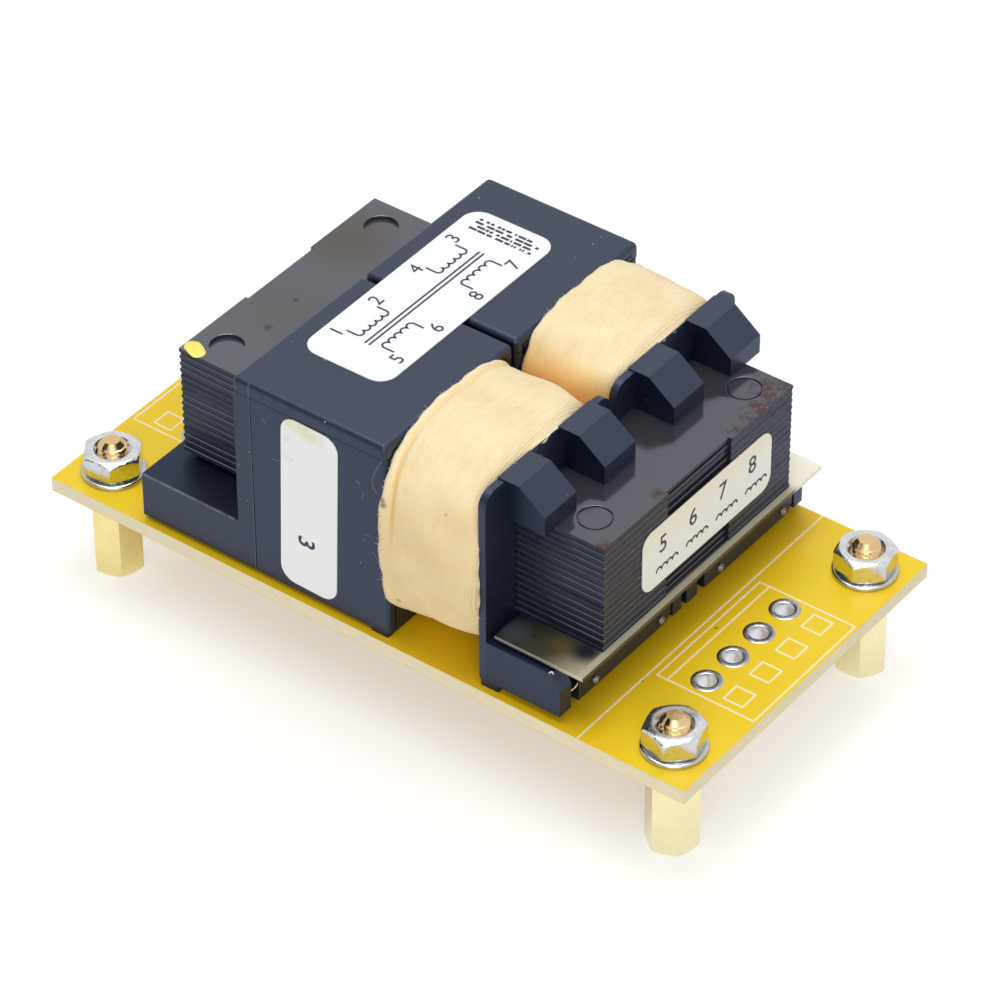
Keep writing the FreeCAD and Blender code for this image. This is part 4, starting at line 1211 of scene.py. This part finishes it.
def diagram(x, y, bulge):
    """One winding of the diagram: a row of loops with a lead at each end."""
    half = 2.3
    leads = [[(end, 0.0), (end, -0.6 * bulge), (end, -1.15 * bulge)] for end in (-half, half)]
    return [on_top(ribbon(path), x, y) for path in [winding_loops(-half, half, 5, bulge)] + leads]


for y in (6.8, -5.4):
    top_marks += diagram(-9.15, y, -1.0) + diagram(-5.85, y, 1.0)
for x in (-7.75, -7.25):
    top_marks.append(on_top(ribbon([(-8.2, 0), (0, 0), (9.6, 0)]), x, 0.0))
bar_rows = ((13.85, -10.9, -5.2), (13.3, -11.0, -3.5), (12.75, -10.4, -4.2), (12.2, -11.0, -3.8))
rng = np.random.default_rng(21)
for row_y, start, end in bar_rows:
    while start < end:
        length = rng.choice([0.2, 0.35, 0.6, 0.9])
        bar = ribbon([(0, 0), (length / 2, 0), (length, 0)], 0.3)
        top_marks.append(on_label(bar, (start, row_y, TOP_PRINT), (1, 0, 0), (0, 1, 0)))
        start += length + rng.choice([0.13, 0.2, 0.45])
piece("top_label_print", joined(top_marks), print_ink)

figure_place = (-6.25, COVER_FRONT - FILM_THICK, 18.6)
front_figure = on_label(numeral("3", 1.9, 0.03), figure_place, -side_up, side_right)
piece("front_label_print", front_figure, print_ink)

end_marks = [on_end(numeral(text, 1.9), -5.6 + 4.8 * k, 24.9) for k, text in enumerate("5678")]
end_marks += [on_end(ribbon(winding_loops(0, 3.4, 4, 1.0)), -6.6 + 4.8 * k, 21.9) for k in range(4)]
piece("end_label_print", joined(end_marks), print_ink)


# Paint dot. A dab of yellow paint, put on the corner of the core's top sheet by hand. It is a little
# longer than wide and thicker in its middle.

DAB_RADIUS, DAB_THICK = 1.1, 0.16

paint = Finish("yellow paint")
paint.set(Base_Color=paint.blend(paint.noise(0.5), (0.90, 0.74, 0.08, 1), (0.97, 0.87, 0.19, 1)),
          Roughness=0.35)
paint.relief(paint.noise(0.3), 0.04)
share = np.linspace(0, 1, 16)
angle = 2 * np.pi * np.arange(60) / 60
wavering = 0.27 * np.cos(2 * angle + 0.89) + 0.03 * np.cos(3 * angle + 1.9) + 0.015 * np.cos(7 * angle)
radius = (1 - share)[:, None] * (DAB_RADIUS + wavering)[None, :]
level = CORE_TOP + DAB_THICK * (1 - (1 - share) ** 4)[:, None]
radius = np.concatenate([np.zeros((1, 60)), radius])
level = np.concatenate([[[CORE_TOP]], level])
piece("paint_dab", swept(radius, level, -23.87, -13.93), paint, ["paint_dot"])


# Lint. Fine pale hairs of cotton that cling to the front cover, the bobbin beside it and the top of a
# wire hood.

lint = Finish("pale lint")
lint.set(Base_Color=lint.blend(lint.noise(0.3), (0.24, 0.25, 0.29, 1), (0.56, 0.57, 0.62, 1)), Roughness=0.7)
lint.relief(lint.noise(0.05), 0.004)
front_hairs = [[(3.16, 33.26), (2.35, 31.70), (1.83, 30.27), (1.85, 29.39), (2.38, 28.66)],
               [(-0.20, 29.13), (0.09, 29.03), (0.34, 28.82)],
               [(0.71, 28.05), (0.64, 27.66), (0.56, 27.28)],
               [(0.78, 22.90), (1.04, 23.19), (1.37, 23.16)],
               [(0.63, 22.53), (0.66, 22.29), (0.76, 22.13)],
               [(-11.27, 31.20), (-11.08, 31.01), (-10.89, 30.85)],
               [(1.62, 21.42), (1.85, 21.13), (2.10, 20.75)],
               [(-10.15, 26.90), (-9.76, 26.84), (-9.25, 27.08)],
               [(-13.23, 20.43), (-13.50, 20.18), (-13.63, 19.99)]]
hairs = [tube_along(curve([(x, -19.47 if z > 33 else -19.39, z) for x, z in path], 24), 0.014, 5)
         for path in front_hairs]
hood_hair = curve([(13.64, -15.21, 34.47), (13.67, -14.5, 34.47), (14.26, -13.84, 34.47)], 24)
hairs.append(tube_along(hood_hair, 0.02, 5))
piece("lint_hairs", joined(hairs), lint)


# Studio. A pale floor with a painted soft shade under the board, warmer and darker there, two large soft
# lamps and a white surround that shows in glossy faces. A black card beside the camera gives their rounded
# edges an outline, and a long lens looks at the whole.

LAMP_TARGET = Vector((0.0, 0.0, 0.02))
WHOLE_LIGHT, DIMMED_LIGHT = 1.0, 0.36
HALF_FLOOR = 6
CARD_AWAY, HALF_CARD_WIDTH, HALF_CARD_HEIGHT = 0.9, 0.34, 0.26
AZIMUTH, ELEVATION, ROLL = math.radians(37.12873), math.radians(39.30103), math.radians(-0.24633)
AIM = Vector((-0.69311, 3.33865, BOARD_TOP)) * MM
DISTANCE = 508.134 * MM
FOCAL_LENGTH = 188.277


def lamp(name, place, size, power):
    """A square soft white lamp that faces the part."""
    light = bpy.data.lights.new(name, "AREA")
    light.shape = "SQUARE"
    light.size = size
    light.energy = power
    holder = bpy.data.objects.new(name, light)
    holder.location = place
    holder.rotation_euler = (LAMP_TARGET - Vector(place)).to_track_quat("-Z", "Y").to_euler()
    bpy.context.scene.collection.objects.link(holder)


lamp("top", (-0.05, 0.05, 0.85), 0.6, 4.6)
lamp("front", (0.42, -0.60, 0.38), 0.5, 2.4)

world = bpy.data.worlds.new("surround")
bpy.context.scene.world = world
world.use_nodes = True
tree = world.node_tree
tree.nodes.clear()
output = tree.nodes.new("ShaderNodeOutputWorld")
choose = tree.nodes.new("ShaderNodeMixShader")
seen = tree.nodes.new("ShaderNodeMath")
seen.operation = "MAXIMUM"
ray = tree.nodes.new("ShaderNodeLightPath")
for k, kind in enumerate(("Is Camera Ray", "Is Glossy Ray")):
    tree.links.new(ray.outputs[kind], seen.inputs[k])
for k, strength in enumerate((DIMMED_LIGHT, WHOLE_LIGHT)):
    shader = tree.nodes.new("ShaderNodeBackground")
    shader.inputs["Color"].default_value = (1, 1, 1, 1)
    shader.inputs["Strength"].default_value = strength
    tree.links.new(shader.outputs[0], choose.inputs[1 + k])
tree.links.new(seen.outputs[0], choose.inputs[0])
tree.links.new(choose.outputs[0], output.inputs[0])


def stage_sheet(name, corners, finish):
    """A flat sheet of the studio, from its four corners in metres."""
    mesh = bpy.data.meshes.new(name)
    mesh.from_pydata([tuple(corner) for corner in corners], [], [(0, 1, 2, 3)])
    mesh.materials.append(finish.material)
    made = bpy.data.objects.new(name, mesh)
    bpy.context.scene.collection.objects.link(made)


ground = Finish("pale floor")
ground.set(Roughness=0.9, Specular_IOR_Level=0.1)
camera_ray = ground.node("LightPath", output="Is Camera Ray")
glossy_ray = ground.node("LightPath", output="Is Glossy Ray")
x, y = ground.axis("X"), ground.axis("Y")
# Painted shade: under the board the floor is warmer and darker, and glows less for the camera and in
# reflections.
board_shade = (x * x).ramp(700.0, 1300.0, 1.0, 0.0) * (y * y).ramp(150.0, 400.0, 1.0, 0.0)
ground.set(Base_Color=ground.blend(board_shade * 0.4, (0.87, 0.86, 0.83, 1), (0.86, 0.79, 0.58, 1)))
shine = ground.blend(glossy_ray, (1.0, 1.0, 1.0, 1), (0.78, 0.83, 0.96, 1))
glow = ground.node("Emission", None, {"Color": shine, "Strength": 1.25})
glowing = camera_ray * (0.5 - board_shade * 0.15) + glossy_ray * (0.6 - board_shade * 0.4)
matt = Value(ground, ground.surface.outputs[0])
mix = ground.node("MixShader", None, {0: glowing, 1: matt, 2: glow})
ground.feed(ground.tree.nodes["Material Output"].inputs[0], mix)
stage_sheet("floor", [(a * HALF_FLOOR, b * HALF_FLOOR, 0) for a, b in FOUR_WAYS], ground)

black = Finish("black card")
black.set(Base_Color=black.blend(black.noise(20.0), (0.004, 0.004, 0.004, 1), (0.007, 0.007, 0.007, 1)),
          Roughness=0.9, Specular_IOR_Level=0.1)
facing = Vector((0.47, 0.63, -0.40)).normalized()
card_right = facing.cross(Vector((0, 0, 1))).normalized() * HALF_CARD_WIDTH
card_up = card_right.cross(facing).normalized() * HALF_CARD_HEIGHT
stage_sheet("black_card", [a * card_right + b * card_up - CARD_AWAY * facing for a, b in FOUR_WAYS], black)

toward = Vector((math.sin(AZIMUTH) * math.cos(ELEVATION), -math.cos(AZIMUTH) * math.cos(ELEVATION),
                 math.sin(ELEVATION)))
level_right = Vector((math.cos(AZIMUTH), math.sin(AZIMUTH), 0))
level_up = toward.cross(level_right)
right = math.cos(ROLL) * level_right + math.sin(ROLL) * level_up
up = -math.sin(ROLL) * level_right + math.cos(ROLL) * level_up
lens = bpy.data.cameras.new("camera")
lens.sensor_width = 36.0
lens.lens = FOCAL_LENGTH
lens.clip_start = 0.01
camera = bpy.data.objects.new("camera", lens)
eye = AIM + toward * DISTANCE
camera.matrix_world = Matrix.Translation(eye) @ Matrix((right, up, toward)).transposed().to_4x4()
bpy.context.scene.collection.objects.link(camera)
bpy.context.scene.camera = camera
bpy.context.scene.view_settings.view_transform = "Standard"
